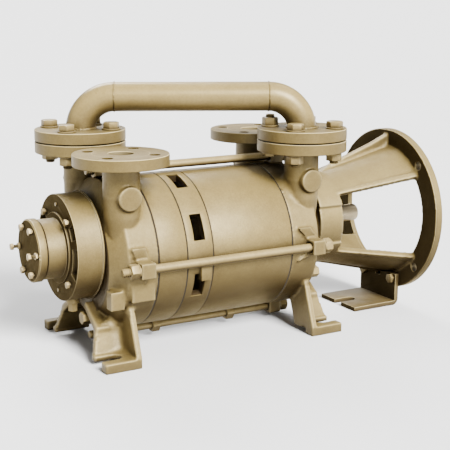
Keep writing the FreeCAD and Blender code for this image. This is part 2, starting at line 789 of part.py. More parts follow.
def bearing_bracket():
    lip_back = x_bracket - 2.5
    drum = turned(
        [
            (x_bracket_front, sz.cartridge_spigot + sz.fit_gap),
            (x_bracket_front, sz.bracket_radius),
            (lip_back - 2.5, sz.bracket_radius),
            (lip_back - 2.5, sz.bracket_lip),
            (lip_back, sz.bracket_lip),
            (lip_back, sz.bracket_radius - 4),
            (x_bracket, sz.bracket_radius - 4),
            (x_bracket, sz.bracket_cavity),
            (x_bracket_front + sz.bracket_wall, sz.bracket_cavity),
            (x_bracket_front + sz.bracket_wall, sz.cartridge_spigot + sz.fit_gap),
        ]
    )
    pockets = []
    for turn, sweep in ((142, 18), (171, 38), (20, 18), (-29, 38)):
        pockets.append(port(sz.bracket_radius - 21.7, sz.bracket_radius - 3.7,
                            x_bracket_front - 1, x_bracket_front + sz.pocket_depth, turn, sweep))
    holes = [
        rod("x", sz.small_screw_radius + sz.rod_clearance, x_bracket_front - 1, x_bracket + 1, y, z)
        for y, z in on_circle(sz.bracket_screw_circle, DIAGONALS)
    ]
    dowels = [
        rod("x", sz.dowel_radius, x_bracket_front - 2, x_bracket_front + 18, 0, sz.bracket_screw_circle * up)
        for up in (-1, 1)
    ]
    node("bearing_bracket", cut(drum, *pockets, *holes, *dowels))
    node("bracket_dowels", group(dowels))
    screws = [
        x_screw(x_bracket_front, -1, y, z, sz.small_screw_radius, sz.small_screw_flats,
                sz.small_screw_head, sz.bracket_length + 8, sz.small_screw_collar)
        for y, z in on_circle(sz.bracket_screw_circle, DIAGONALS)
    ]
    node("bracket_screws", group(screws))


def bearing_cartridge():
    back = x_bracket_front + sz.cartridge_depth
    shoulder = x_cartridge_front + 24
    profile = [
        (x_cartridge_front, 31 + sz.fit_gap),
        (x_cartridge_front, sz.cartridge_radius),
        (x_bracket_front - 3.5, sz.cartridge_radius),
        (x_bracket_front - 3.5, sz.cartridge_lip),
        (x_bracket_front, sz.cartridge_lip),
        (x_bracket_front, sz.cartridge_spigot),
        (back, sz.cartridge_spigot),
        (back, sz.sleeve_radius),
        (shoulder, sz.sleeve_radius),
        (shoulder, 31 + sz.fit_gap),
    ]
    holes = [
        rod("x", sz.small_screw_radius, x_cartridge_front - 1, x_cartridge_front + 14, y, z)
        for y, z in on_circle(sz.cover_screw_circle, range(0, 360, 60))
    ]
    node("bearing_cartridge", cut(turned(profile), *holes))
    gasket = tube("x", sz.cartridge_radius - 2.5, 31, x_cover_back, x_cartridge_front)
    holes = [
        rod("x", sz.small_screw_radius + sz.rod_clearance, x_cover_front - 1, x_cartridge_front + 1, y, z)
        for y, z in on_circle(sz.cover_screw_circle, range(0, 360, 60))
    ]
    node("end_cover_gasket", cut(gasket, *holes))
    cover = turned(
        [
            (x_cover_front, 0),
            (x_cover_front, sz.cover_radius - 2),
            (x_cover_front + 2, sz.cover_radius),
            (x_cover_back - 1, sz.cover_radius),
            (x_cover_back - 1, sz.cartridge_radius - 2.5),
            (x_cover_back, sz.cartridge_radius - 2.5),
            (x_cover_back, 28),
            (x_cover_back - 6, 28),
            (x_cover_back - 6, 0),
        ]
    )
    node("end_cover", cut(cover, *holes))
    screws = [
        x_screw(x_cover_front, -1, y, z, sz.small_screw_radius, sz.small_screw_flats,
                sz.small_screw_head, sz.cover_thickness + 12, sz.small_screw_collar)
        for y, z in on_circle(sz.cover_screw_circle, (60, 120, 240, 300))
    ]
    node("end_cover_screws", group(screws))
    jacks = [
        x_screw(x_cover_front, -1, y, z, sz.small_screw_radius, sz.small_screw_flats,
                sz.small_screw_head, sz.cover_thickness + 12, sz.jack_screw_reach - sz.small_screw_head)
        for y, z in on_circle(sz.cover_screw_circle, (0, 180))
    ]
    node("jacking_screws", group(jacks))


# Rolling bearings

def rolling_bearing(name, start, width, bore, outside, ball_radius, balls):
    """Deep groove bearing from start towards the motor end: rings, balls and cage."""
    end = start + width
    middle = start + length(width) / 2
    outside = length(outside)
    pitch = (bore + outside) / 2
    ring_wall = (outside - bore - ball_radius * 1.1) / 2
    groove = torus(pitch, length(ball_radius) + 0.1, middle, 0, 0)
    node(f"{name}_outer_ring", cut(tube("x", outside, outside - ring_wall, start, end), groove))
    groove = torus(pitch, length(ball_radius) + 0.1, middle, 0, 0)
    node(f"{name}_inner_ring", cut(tube("x", bore + ring_wall, bore, start, end), groove))
    angles = [360 / balls * index for index in range(balls)]
    node(f"{name}_balls", group([ball(ball_radius, middle, y, z) for y, z in on_circle(pitch, angles)]))
    pockets = [ball(length(ball_radius) + 0.25, middle, y, z) for y, z in on_circle(pitch, angles)]
    cage = tube("x", pitch + 1, pitch - 1, middle - ball_radius - 1.5, middle + ball_radius + 1.5)
    node(f"{name}_cage", cut(cage, *pockets))


def bearings():
    outer_start = x_cartridge_front + 8
    rolling_bearing("outer_bearing", outer_start, 16, sz.outer_seat_radius, 31, 4.76, 9)
    rolling_bearing("drive_bearing", x_casing_end + 27, 17, sz.drive_seat_radius, 36, 5.55, 9)


# Shaft and what turns with it

def shaft():
    seal_end = x_bracket_front - 9
    x_outer_seat = x_cartridge_front + 24
    x_drive_seat = x_casing_end + 27
    x_impeller_right = x_suction - sz.impeller_side_gap
    x_impeller_left = x_discharge + sz.impeller_side_gap
    profile = [
        (-sz.shaft_end_gap, 0),
        (-sz.shaft_end_gap, sz.shaft_end_radius - 1),
        (-sz.shaft_end_gap - 1, sz.shaft_end_radius),
        (-160, sz.shaft_end_radius),
        (-160, sz.drive_seat_radius),
        (x_drive_seat, sz.drive_seat_radius),
        (x_drive_seat, sz.seal_seat_radius),
        (x_impeller_right, sz.seal_seat_radius),
        (x_impeller_right, sz.impeller_seat_radius),
        (x_impeller_left, sz.impeller_seat_radius),
        (x_impeller_left, sz.seal_seat_radius),
        (seal_end + 10, sz.seal_seat_radius),
        (seal_end + 10, sz.outer_seat_radius + 3),
        (x_outer_seat, sz.outer_seat_radius + 3),
        (x_outer_seat, sz.outer_seat_radius),
        (x_cartridge_front - 0.5, sz.outer_seat_radius),
        (x_cartridge_front - 0.5, 0),
    ]
    keyways = [block((key.start, key.end), (-key.half, key.half), (key.low, key.high))
               for key in (COUPLING_KEYWAY, *KEYS)]
    node("shaft", cut(turned(profile), *keyways))


COUPLING_KEYWAY = SimpleNamespace(start=-sz.shaft_end_gap - 5, end=-sz.shaft_end_gap - 45, half=length(4),
                                  low=sz.shaft_end_radius - 4, high=sz.shaft_end_radius + 3)
KEYS = (
    SimpleNamespace(start=x_suction - 26, end=x_suction - 126, half=length(7),
                    low=sz.impeller_seat_radius - 5.5, high=sz.impeller_seat_radius + 3.5),
    SimpleNamespace(start=x_discharge + 8, end=x_discharge + 44, half=length(7),
                    low=sz.impeller_seat_radius - 5.5, high=sz.impeller_seat_radius + 3.5),
)


def keys():
    solids = [block((key.start, key.end), (-key.half, key.half), (key.low, key.high)) for key in KEYS]
    node("impeller_keys", group(solids))


def impeller(label, start, end):
    """Hub with curved blades, from start to end along the shaft."""
    centre = sz.blade_centre.value
    curve = sz.blade_curve.value
    root_x = (centre ** 2 + (sz.impeller_hub_radius.value - 2) ** 2 - curve ** 2) / (2 * centre)
    root_y = math.sqrt((sz.impeller_hub_radius.value - 2) ** 2 - root_x ** 2)
    tip_x = (centre ** 2 + sz.impeller_radius.value ** 2 - curve ** 2) / (2 * centre)
    tip_y = math.sqrt(sz.impeller_radius.value ** 2 - tip_x ** 2)
    root_angle = math.degrees(math.atan2(root_y, root_x - centre))
    tip_angle = math.degrees(math.atan2(tip_y, tip_x - centre)) - 4
    blades = []
    for index in range(BLADES):
        turn = 360 / BLADES * index
        y, z = sz.blade_centre * cos(turn), sz.blade_centre * sin(turn)
        outer = rod("x", sz.blade_curve + sz.blade_thickness / 2, start, end, y, z,
                    turn=turn + tip_angle, sweep=root_angle - tip_angle)
        blades.append(cut(outer, rod("x", sz.blade_curve - sz.blade_thickness / 2, start, end, y, z)))
    trimmed = common(fuse(*blades), rod("x", sz.impeller_radius, start, end))
    hub = rod("x", sz.impeller_hub_radius, start, end)
    bore = rod("x", sz.impeller_seat_radius, start, end)
    keyway = block((start, end), (-7, 7), (0, sz.impeller_seat_radius + 3.8))
    node(label, cut(fuse(hub, trimmed), bore, keyway))


def rotor():
    impeller("stage_1_impeller", x_suction - sz.impeller_side_gap, x_ring + sz.impeller_side_gap)
    impeller("stage_2_impeller", x_ring_end - sz.impeller_side_gap, x_discharge + sz.impeller_side_gap)
    node("interstage_sleeve", tube("x", sz.sleeve_radius, sz.impeller_seat_radius,
                                   x_ring + sz.impeller_side_gap, x_ring_end - sz.impeller_side_gap))
    sleeves, rings, seats, slingers = [], [], [], []
    for joint, out in ((x_suction, 1), (x_discharge, -1)):
        ring_start = joint + 40 * out
        ring_end = joint + 54 * out
        seat_end = joint + sz.seal_chamber * out
        sleeves.append(tube("x", sz.sleeve_radius, sz.seal_seat_radius,
                            joint - sz.impeller_side_gap * out, ring_start))
        rings.append(tube("x", sz.seal_bore - 4, sz.seal_seat_radius, ring_start, ring_end))
        seats.append(tube("x", sz.seal_bore, sz.seal_seat_radius + 1, ring_end + 0.1 * out, seat_end))
    node("shaft_sleeves", group(sleeves))
    node("seal_rings", group(rings))
    node("seal_seats", group(seats))
    for start in (x_bracket - 14, x_casing_end + 6):
        slingers.append(tube("x", sz.sleeve_radius + 5, sz.seal_seat_radius, start, start + 4))
    node("water_slingers", group(slingers))
    lock_start = x_cartridge_front + 8
    washer = tube("x", 21, sz.outer_seat_radius, lock_start - 1.2, lock_start)
    node("lock_washer", washer)
    slots = [radial_block((lock_start - 9, lock_start - 1), 20, 24, 5, angle, 0) for angle in TIE_ROD_ANGLES]
    lock_nut = tube("x", 22.5, sz.outer_seat_radius, lock_start - 1.2, lock_start - 8.2)
    node("lock_nut", cut(lock_nut, *[item for item in slots]))


# Lantern between pump and motor

def lantern():
    bearing_bore = 36 + sz.fit_gap
    hub = turned(
        [
            (x_casing_end, sz.cover_radius),
            (x_casing_end, sz.hub_radius),
            (x_hub_face, sz.hub_radius),
            (x_hub_face, bearing_bore),
            (x_casing_end + 27, bearing_bore),
            (x_casing_end + 27, sz.drive_seat_radius * 1.8),
            (x_casing_end + 15, sz.drive_seat_radius * 1.8),
            (x_casing_end + 15, sz.cover_radius),
        ]
    )
    ring = turned(
        [
            (x_ring_back, opening_radius),
            (x_ring_back, sz.motor_flange_radius),
            (0, sz.motor_flange_radius),
            (0, spigot_radius + 3),
            (-3, spigot_radius),
            (-sz.spigot_depth, spigot_radius),
            (-sz.spigot_depth, opening_radius),
        ]
    )
    root = x_hub_face - 6
    tip = x_ring_back + 3
    outside = [hub, ring]
    for middle in (90, 270):
        start = middle - ARM_SWEEP / 2
        pad_sweep = 132
        inside = cut(
            rod("x", sz.hub_radius + 3, x_casing_end + 10, x_hub_face,
                turn=middle - pad_sweep / 2, sweep=pad_sweep),
            rod("x", sz.hub_radius - 5, x_casing_end + 10, x_hub_face),
        )
        arm = cut(
            taper(sz.hub_radius + 1.4, opening_radius + 8.7, root, tip, start, ARM_SWEEP),
            taper(sz.hub_radius + 1.4 - sz.arm_thickness, opening_radius + 8.7 - sz.arm_thickness, root, tip),
        )
        outside += [inside, arm]
        for edge in (start, start + ARM_SWEEP - 5):
            outside.append(cut(
                taper(sz.hub_radius + 3, opening_radius + 12, root, tip, edge, 5),
                taper(sz.hub_radius + 3 - sz.arm_rib_thickness, opening_radius + 12 - sz.arm_rib_thickness,
                      root, tip),
            ))
    top_fin = [
        (root - 2, sz.hub_radius - 5),
        (root - 2, sz.hub_radius - 1),
        (x_hub_face + 24, sz.hub_radius + 15),
        (x_hub_face + 57, sz.hub_radius + 27),
        (x_hub_face + 113, sz.hub_radius + 46.4),
        (tip, sz.motor_flange_radius - 7),
        (tip, opening_radius + 3),
    ]
    bottom_fin = [
        (root - 2, -sz.hub_radius + 5),
        (root - 2, -sz.hub_radius - 4),
        (tip, -opening_radius - 14),
        (tip, -opening_radius - 3),
    ]
    outside.append(plate("XZ_Plane", top_fin, sz.fin_thickness))
    outside.append(plate("XZ_Plane", bottom_fin, sz.fin_thickness))
    holes = [
        rod("x", sz.motor_hole, x_ring_back - 1, 1, y, z)
        for y, z in on_circle(motor_circle, DIAGONALS)
    ]
    holes += [rod("x", sz.support_screw_radius, x_ring_back - 1, -1, y, z) for y, z in support_points()]
    holes += [
        rod("x", sz.medium_screw_radius + sz.rod_clearance, x_casing_end - 1, x_hub_face + 1, y, z)
        for y, z in on_circle(hub_screw_circle, DIAGONALS)
    ]
    holes += [
        rod("x", sz.small_screw_radius, x_hub_face - 14, x_hub_face + 1, y, z)
        for y, z in on_circle(sz.drive_cover_radius - 8, (0, 90, 180, 270))
    ]
    node("motor_lantern", cut(fuse(*outside), *holes))
    screws = [
        x_screw(x_hub_face, 1, y, z, sz.medium_screw_radius, sz.medium_screw_flats,
                sz.medium_screw_head, sz.hub_length + 9)
        for y, z in on_circle(hub_screw_circle, DIAGONALS)
    ]
    node("lantern_screws", group(screws))


def drive_cover():
    front = x_hub_face + sz.drive_cover_thickness
    back = x_casing_end + 44
    cover = turned(
        [
            (front, sz.drive_seat_radius + 0.5),
            (front, sz.drive_cover_radius),
            (x_hub_face, sz.drive_cover_radius),
            (x_hub_face, 36),
            (back, 36),
            (back, 25),
            (x_hub_face - 2, 25),
            (x_hub_face - 2, sz.drive_seat_radius + 0.5),
        ]
    )
    points = on_circle(sz.drive_cover_radius - 8, (0, 90, 180, 270))
    holes = [
        rod("x", sz.small_screw_radius + sz.rod_clearance, x_hub_face - 1, front + 1, y, z) for y, z in points
    ]
    node("drive_bearing_cover", cut(cover, *holes))
    screws = [
        x_screw(front, 1, y, z, sz.small_screw_radius, sz.small_screw_flats, sz.small_screw_head, 20)
        for y, z in points
    ]
    node("drive_cover_screws", group(screws))
    drive_seal = tube("x", 25, sz.drive_seat_radius + sz.fit_gap, x_hub_face - 9, x_hub_face - 2)
    seal_start = x_bracket_front + 8
    outer_seal = tube("x", sz.sleeve_radius, sz.seal_seat_radius + sz.fit_gap, seal_start, seal_start + 8)
    node("lip_seals", group([drive_seal, outer_seal]))


def support_points():
    return on_circle(motor_circle, (252, 288))


def support_foot():
    back = x_ring_back - sz.support_thickness
    end = x_ring_back - sz.support_length - sz.support_thickness
    half = sz.support_half_width
    leg = block((back, x_ring_back), (-half, half), (z_floor, -opening_radius - 5.5))
    base = block((end, x_ring_back), (-half, half), (z_floor, z_floor + sz.support_thickness))
    slot_root = end + 38
    x_bend = x_ring_back - sz.support_bend
    z_bend = z_floor + sz.support_bend
    bend = cut(
        block((x_bend, x_ring_back + 1), (-half - 1, half + 1), (z_floor - 1, z_bend)),
        rod("y", sz.support_bend, -half - 2, half + 2, x_bend, z_bend),
    )
    tools = [
        bend,
        block((end - 1, slot_root - 10), (-10, 10), (z_floor - 1, z_floor + sz.support_thickness + 1)),
        rod("z", length(10), z_floor - 1, z_floor + sz.support_thickness + 1, slot_root - 10, 0),
        rod("x", opening_radius + 10, back - 1, x_ring_back + 1),
        block((back - 1, x_ring_back + 1), (-7, 7), (-opening_radius - 17, -opening_radius)),
    ]
    tools += [rod("x", sz.support_screw_radius + sz.rod_clearance, back - 1, x_ring_back + 1, y, z)
              for y, z in support_points()]
    node("support_foot", cut(fuse(leg, base), *tools))
    screws = [
        x_screw(back, -1, y, z, sz.support_screw_radius, sz.support_screw_flats,
                sz.support_screw_head, sz.support_thickness + sz.motor_flange_thickness - 2)
        for y, z in support_points()
    ]
    node("support_foot_screws", group(screws))


# Pipe between the stages, with its flanges

def pipe_run(radius, run):
    """Tube core in its own frame: up, along and down again."""
    low = z_pipe_flange
    bend = sz.pipe_height - sz.elbow_radius
    upright = FreeCAD.Rotation(FreeCAD.Vector(1, 0, 0), 90)
    rising = upright * FreeCAD.Rotation(FreeCAD.Vector(0, 0, 1), 90)
    first = torus(sz.elbow_radius, radius, sz.elbow_radius, 0, bend, rising, 90)
    second = torus(sz.elbow_radius, radius, run - sz.elbow_radius, 0, bend, upright, 90)
    return fuse(
        rod("z", radius, low, bend, 0, 0),
        first,
        rod("x", radius, sz.elbow_radius, run - sz.elbow_radius, 0, sz.pipe_height),
        second,
        rod("z", radius, low, bend, run, 0),
    )


def interstage_pipe():
    along = x_suction_flange - x_discharge_flange
    back = sz.neck_offset * 2
    reach = math.hypot(along.value, back.value)
    angle = math.degrees(math.atan2(-back.value, along.value))
    run = Length(f"sqrt({along.text} * {along.text} + {back.text} * {back.text})", reach)
    pipe = cut(pipe_run(sz.pipe_radius, run), pipe_run(sz.pipe_radius - sz.pipe_wall, run))
    pipe = fuse(
        pipe,
        *[
            cut(torus(sz.pipe_radius - 0.6, 2, centre, 0, sz.pipe_height),
                rod("x", sz.pipe_radius - sz.pipe_wall / 2, centre - 4, centre + 4, 0, sz.pipe_height))
            for centre in (sz.elbow_radius, run - sz.elbow_radius)
        ],
    )
    place(pipe, FreeCAD.Rotation(FreeCAD.Vector(0, 0, 1), angle), x_discharge_flange, sz.neck_offset, 0)
    node("interstage_pipe", pipe)


def pipe_flanges():
    ends = ((x_discharge_flange, sz.neck_offset), (x_suction_flange, -sz.neck_offset))
    flanges, gaskets, bolts, nuts, washers = [], [], [], [], []
    offset = sz.flange_circle * cos(45)
    top_washer = z_pipe_flange_top + sz.washer_thickness
    low_washer = z_flange_bottom - sz.washer_thickness
    for x, y in ends:
        disc = rod("z", sz.flange_radius, z_pipe_flange, z_pipe_flange_top, x, y)
        bore = rod("z", sz.pipe_radius, z_pipe_flange - 1, z_pipe_flange_top + 1, x, y)
        flanges.append(cut(disc, bore, *flange_holes(x, y, z_pipe_flange - 1, z_pipe_flange_top + 1)))
        gaskets.append(tube("z", sz.flange_circle - sz.flange_hole - 1, sz.pipe_radius,
                            sz.flange_top, z_pipe_flange, x, y))
        for across in (-1, 1):
            for along in (-1, 1):
                u = x + offset * across
                v = y + offset * along
                head_down = x is x_suction_flange and across < 0 < along
                head, tail, out = (low_washer, top_washer, -1) if head_down else (top_washer, low_washer, 1)
                nut_end = tail - sz.flange_nut_thickness * out
                bolts.append(fuse(
                    hexagon("z", sz.flange_bolt_flats, head, head + sz.flange_bolt_head * out, u, v, 15),
                    rod("z", sz.flange_bolt_radius, head + 2 * out, nut_end - 5 * out, u, v),
                ))
                nuts.append(nut("z", sz.flange_bolt_flats, sz.flange_bolt_radius, tail, nut_end, u, v, 40))
                for low, high in ((z_pipe_flange_top, top_washer), (low_washer, z_flange_bottom)):
                    washers.append(
                        tube("z", sz.flange_bolt_radius * 1.9, sz.flange_bolt_radius, low, high, u, v))
    node("pipe_flanges", group(flanges))
    node("pipe_gaskets", group(gaskets))
    node("flange_bolts", group(bolts))
    node("flange_nuts", group(nuts))
    node("flange_washers", group(washers))


# Plugs

def plugs():
    x = x_bracket - 23
    collar = rod("z", length(11), -sz.bracket_radius - 8, -sz.bracket_radius - 0.3, x, 0)
    head = hexagon("z", length(14), -sz.bracket_radius - 22, -sz.bracket_radius - 8, x, 0)
    node("bracket_drain_plug", fuse(collar, head))
    drains = []
    for start, out, reach, y, z in ((x_casing_end, 1, 9, -58, -84), (x_bracket - 2, -1, 3, -22, -116)):
        seat = start + reach * out
        drains.append(fuse(
            rod("x", length(11), start, seat, y, z),
            hexagon("x", length(18), seat, seat + 13 * out, y, z, 15),
        ))
    node("casing_drain_plugs", group(drains))


end_casings()
stage_casings()
intermediate_ring()
plates()
tie_rods()
bearing_bracket()
bearing_cartridge()
bearings()
shaft()
keys()
rotor()
lantern()
drive_cover()
support_foot()
interstage_pipe()
pipe_flanges()
plugs()

doc.recompute()
failed = [thing.Name for thing in doc.Objects if "Invalid" in thing.State or "Error" in thing.State]
failed += [thing.Label for thing in NODES if thing.Shape.isNull() or not thing.Shape.isValid()]
if failed:
    raise RuntimeError(f"without a valid shape: {failed}")
os.makedirs("parts", exist_ok=True)
for thing in NODES:
    thing.Shape.exportStep(f"parts/{thing.Label}.step")
    print(thing.Label, len(thing.Shape.Solids), round(thing.Shape.Volume / 1000, 2))
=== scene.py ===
"""Looks of a two-stage liquid ring vacuum pump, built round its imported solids."""

import json
import math

import bpy
import numpy as np
from mathutils import Matrix, Vector


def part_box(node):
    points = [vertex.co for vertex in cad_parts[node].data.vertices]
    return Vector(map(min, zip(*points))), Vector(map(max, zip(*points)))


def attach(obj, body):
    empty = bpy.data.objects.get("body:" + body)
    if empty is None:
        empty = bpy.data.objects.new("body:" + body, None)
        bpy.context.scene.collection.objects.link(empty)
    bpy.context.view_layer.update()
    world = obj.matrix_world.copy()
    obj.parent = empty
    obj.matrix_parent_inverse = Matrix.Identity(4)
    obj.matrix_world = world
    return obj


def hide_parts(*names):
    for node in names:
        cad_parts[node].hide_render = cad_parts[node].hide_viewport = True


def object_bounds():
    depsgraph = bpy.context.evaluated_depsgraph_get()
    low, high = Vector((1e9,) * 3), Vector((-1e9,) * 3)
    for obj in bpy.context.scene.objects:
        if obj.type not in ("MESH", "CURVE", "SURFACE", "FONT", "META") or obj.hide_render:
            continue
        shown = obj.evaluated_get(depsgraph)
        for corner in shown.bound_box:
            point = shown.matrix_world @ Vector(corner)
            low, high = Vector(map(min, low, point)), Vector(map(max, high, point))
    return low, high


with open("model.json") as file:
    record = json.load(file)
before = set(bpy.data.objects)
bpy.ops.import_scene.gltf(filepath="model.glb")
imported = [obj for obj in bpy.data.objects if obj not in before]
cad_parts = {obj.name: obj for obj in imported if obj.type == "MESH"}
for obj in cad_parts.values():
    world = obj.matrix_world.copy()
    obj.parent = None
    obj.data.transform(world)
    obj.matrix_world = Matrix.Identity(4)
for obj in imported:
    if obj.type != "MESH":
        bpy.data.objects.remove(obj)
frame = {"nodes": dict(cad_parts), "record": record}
cad_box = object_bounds()
nodes = frame["nodes"]
bpy.ops.object.select_all(action="DESELECT")

# Sizes that the looks share with the solids, in metres, with circles given by their radius; X runs along
# the shaft to the motor and Z is up

FLOOR = cad_box[0][2]
CASING_AXIS = -0.0175
SUCTION_NECKS = ((-0.257, -0.081), (-0.257, 0.081))
DISCHARGE_NECKS = ((-0.589, -0.081), (-0.589, 0.081))
NECK_BORE = 0.020
FLANGE_RADIUS, FLANGE_THICKNESS = 0.075, 0.018
FLANGE_LOW = 0.1385
FLANGE_BOLT_CIRCLE = 0.055
BOLT_OFFSET = FLANGE_BOLT_CIRCLE * math.cos(math.radians(45))
PIPE_FLANGE_LOW = 0.1585
PIPE_FLANGE_TOP = PIPE_FLANGE_LOW + FLANGE_THICKNESS
PIPE_START = Vector((*DISCHARGE_NECKS[1], 0))
PIPE_END = Vector((*SUCTION_NECKS[0], 0))
PIPE_RADIUS, PIPE_WALL = 0.02415, 0.0026
PIPE_HEIGHT = 0.2285
ELBOW = 0.057
WASHER = 0.0025
ROD_CIRCLE, ROD_RADIUS = 0.136, 0.007
MOTOR_BOLT_CIRCLE = 0.1325
MOTOR_RING_BACK = -0.0125
CASTING_WAVE = 0.0005


# Camera, floor and lights

def look_from(azimuth, elevation, roll, distance, target):
    """Matrix of a camera or light that looks at a target from an azimuth and elevation in degrees."""
    az, el, turn = (math.radians(angle) for angle in (azimuth, elevation, roll))
    back = Vector((math.sin(az) * math.cos(el), -math.cos(az) * math.cos(el), math.sin(el)))
    right = Vector((math.cos(az), math.sin(az), 0))
    up = back.cross(right)
    across = right * math.cos(turn) + up * math.sin(turn)
    upright = up * math.cos(turn) - right * math.sin(turn)
    matrix = Matrix((across, upright, back)).transposed().to_4x4()
    matrix.translation = Vector(target) + back * distance
    return matrix


def set_camera():
    """Stands the camera where the photograph was taken from, with its angle of view."""
    azimuth, elevation, roll = -29.796, 12.488, 0.2122
    distance, target = 1.84356, (-0.35861, 0, 0.00384)
    camera = bpy.data.cameras.new("camera")
    camera.lens = 85.325
    camera.sensor_width = 36
    camera.clip_end = 300
    holder = bpy.data.objects.new("camera", camera)
    holder.matrix_world = look_from(azimuth, elevation, roll, distance, target)
    bpy.context.scene.collection.objects.link(holder)
    bpy.context.scene.camera = holder


def sky_light(name, azimuth, elevation, strength, spread):
    """Light from far away, so that the floor is evenly lit out to the horizon."""
    light = bpy.data.lights.new(name, "SUN")
    light.energy = strength
    light.angle = math.radians(spread)
    holder = bpy.data.objects.new(name, light)
    holder.matrix_world = look_from(azimuth, elevation, 0, 4, (-0.36, 0, 0))
    bpy.context.scene.collection.objects.link(holder)


def set_studio():
    """A key from the front, weak light from above and behind, and walls that are paler than the ceiling."""
    sky_light("key_light", 5, 35, 19.0, 24)
    sky_light("top_light", 90, 65, 1.6, 50)
    sky_light("back_light", 172, 42, 4.0, 30)
    world = bpy.data.worlds.new("studio")
    bpy.context.scene.world = world
    walls = Finish(world)
    direction = walls.add("ShaderNodeTexCoord", {}, {}, "Generated")
    height = walls.add("ShaderNodeSeparateXYZ", {}, {"Vector": direction}, "Z")
    pale, dim = rgb(1.45, 1.45, 1.45), rgb(0.13, 0.13, 0.13)
    shade = walls.blend(walls.ramp(height, 0.03, 0.13), pale, dim)
    light = walls.add("ShaderNodeBackground", {}, {"Color": shade, "Strength": 2.3})
    walls.add("ShaderNodeOutputWorld", {}, {"Surface": light})


# Tools for making pieces

def only(piece):
    """Leaves one piece selected and active."""
    bpy.ops.object.select_all(action="DESELECT")
    piece.select_set(True)
    bpy.context.view_layer.objects.active = piece


def edit(piece):
    """Opens one piece with all of it selected."""
    only(piece)
    bpy.ops.object.mode_set(mode="EDIT")
    bpy.ops.mesh.select_all(action="SELECT")


def leave():
    bpy.ops.object.mode_set(mode="OBJECT")


def modify(piece, kind, **settings):
    """Adds a modifier with its settings and applies it."""
    only(piece)
    modifier = piece.modifiers.new("step", kind)
    for name, value in settings.items():
        setattr(modifier, name, value)
    bpy.ops.object.modifier_apply(modifier=modifier.name)


def drop(*pieces):
    for piece in pieces:
        bpy.data.objects.remove(piece)


def boolean(piece, tool, operation="DIFFERENCE"):
    modify(piece, "BOOLEAN", object=tool, operation=operation, solver="EXACT")
    drop(tool)


def cut_beyond(piece, axis, start, depth=0.2):
    """Cuts away what lies beyond a station on an axis."""
    centre, size = [-0.4, 0, 0], [1, 1, 1]
    centre[axis] = start + depth / 2
    size[axis] = depth
    bpy.ops.mesh.primitive_cube_add(size=1, location=centre)
    tool = bpy.context.object
    tool.scale = size
    bpy.ops.object.transform_apply(location=True, rotation=True, scale=True)
    boolean(piece, tool)


def bevel(piece, width, angle=35):
    """Breaks the edges that turn by more than an angle in degrees."""
    modify(piece, "BEVEL", width=width, segments=2, limit_method="ANGLE",
           angle_limit=math.radians(angle), use_clamp_overlap=True, harden_normals=False)


def from_node(label, name):
    """Copy of a solid's mesh, with its loose triangles joined up."""
    piece = bpy.data.objects.new(name, nodes[label].data.copy())
    bpy.context.scene.collection.objects.link(piece)
    edit(piece)
    bpy.ops.mesh.remove_doubles(threshold=0.00001)
    leave()
    return piece


def join(pieces, name):
    """Makes one piece of several."""
    bpy.ops.object.select_all(action="DESELECT")
    for piece in pieces:
        piece.select_set(True)
    bpy.context.view_layer.objects.active = pieces[0]
    bpy.ops.object.join()
    pieces[0].name = name
    return pieces[0]


def repeat(original, name, matrices):
    """Copies of one model, each with its own mesh, joined as one piece; the model itself goes."""
    parts = []
    for matrix in matrices:
        part = bpy.data.objects.new(name, original.data.copy())
        part.data.transform(matrix)
        bpy.context.scene.collection.objects.link(part)
        parts.append(part)
    drop(original)
    return join(parts, name)


def turned(name, stations, sides=96):
    """Round piece along Z, drawn through (height, radius) stations and back to the first."""
    on_axis_radius = 0.00005
    height, radius = stations[0]
    bpy.ops.object.select_all(action="DESELECT")
    bpy.ops.mesh.primitive_circle_add(vertices=sides, radius=max(radius, on_axis_radius))
    piece = bpy.context.object
    piece.name = name
    edit(piece)
    bpy.ops.transform.translate(value=(0, 0, height))
    path = list(stations) + [stations[0]]
    for (low, inner), (high, outer) in zip(path, path[1:]):
        bpy.ops.mesh.extrude_region_move()
        grow = max(outer, on_axis_radius) / max(inner, on_axis_radius)
        bpy.ops.transform.resize(value=(grow, grow, 1), center_override=(0, 0, low))
        bpy.ops.transform.translate(value=(0, 0, high - low))
    bpy.ops.mesh.select_all(action="SELECT")
    bpy.ops.mesh.remove_doubles(threshold=0.00012 if radius == 0 else 0.00001)
    bpy.ops.mesh.normals_make_consistent(inside=False)
    leave()
    return piece


def rod(name, radius, low, high, sides=32):
    """Plain cylinder along Z."""
    return turned(name, [(low, 0), (low, radius), (high, radius), (high, 0)], sides)


def hexagon(name, flats, thickness):
    """Hexagon head or nut on Z = 0, with its corners turned off at the top."""
    corner = flats / math.sqrt(3)
    shoulder = thickness - (corner - flats / 2) * 0.6
    bpy.ops.mesh.primitive_cylinder_add(vertices=6, radius=corner, depth=thickness,
                                        location=(0, 0, thickness / 2))
    piece = bpy.context.object
    piece.name = name
    bpy.ops.object.transform_apply(location=True, rotation=True, scale=True)
    cone = turned("cone", [(-0.001, 0), (-0.001, corner * 1.2), (shoulder, corner * 1.02),
                           (thickness, flats / 2 * 0.97), (thickness + 0.0001, 0)], 48)
    boolean(piece, cone, "INTERSECT")
    bevel(piece, 0.0004, 25)
    return piece


def thread(name, radius, start, end, pitch=0.002):
    """Threaded end of a rod along Z, with a chamfered tip at the end."""
    chamfer, depth = 0.0015, 0.0009
    stations = [(start, 0), (start, radius)]
    turns = max(1, int((end - start - chamfer) / pitch))
    step = (end - start - chamfer) / turns
    for turn in range(turns):
        low = start + turn * step
        stations += [(low + step * 0.45, radius - depth), (low + step * 0.9, radius)]
    stations += [(end, radius - chamfer), (end, 0)]
    return turned(name, stations, 40)


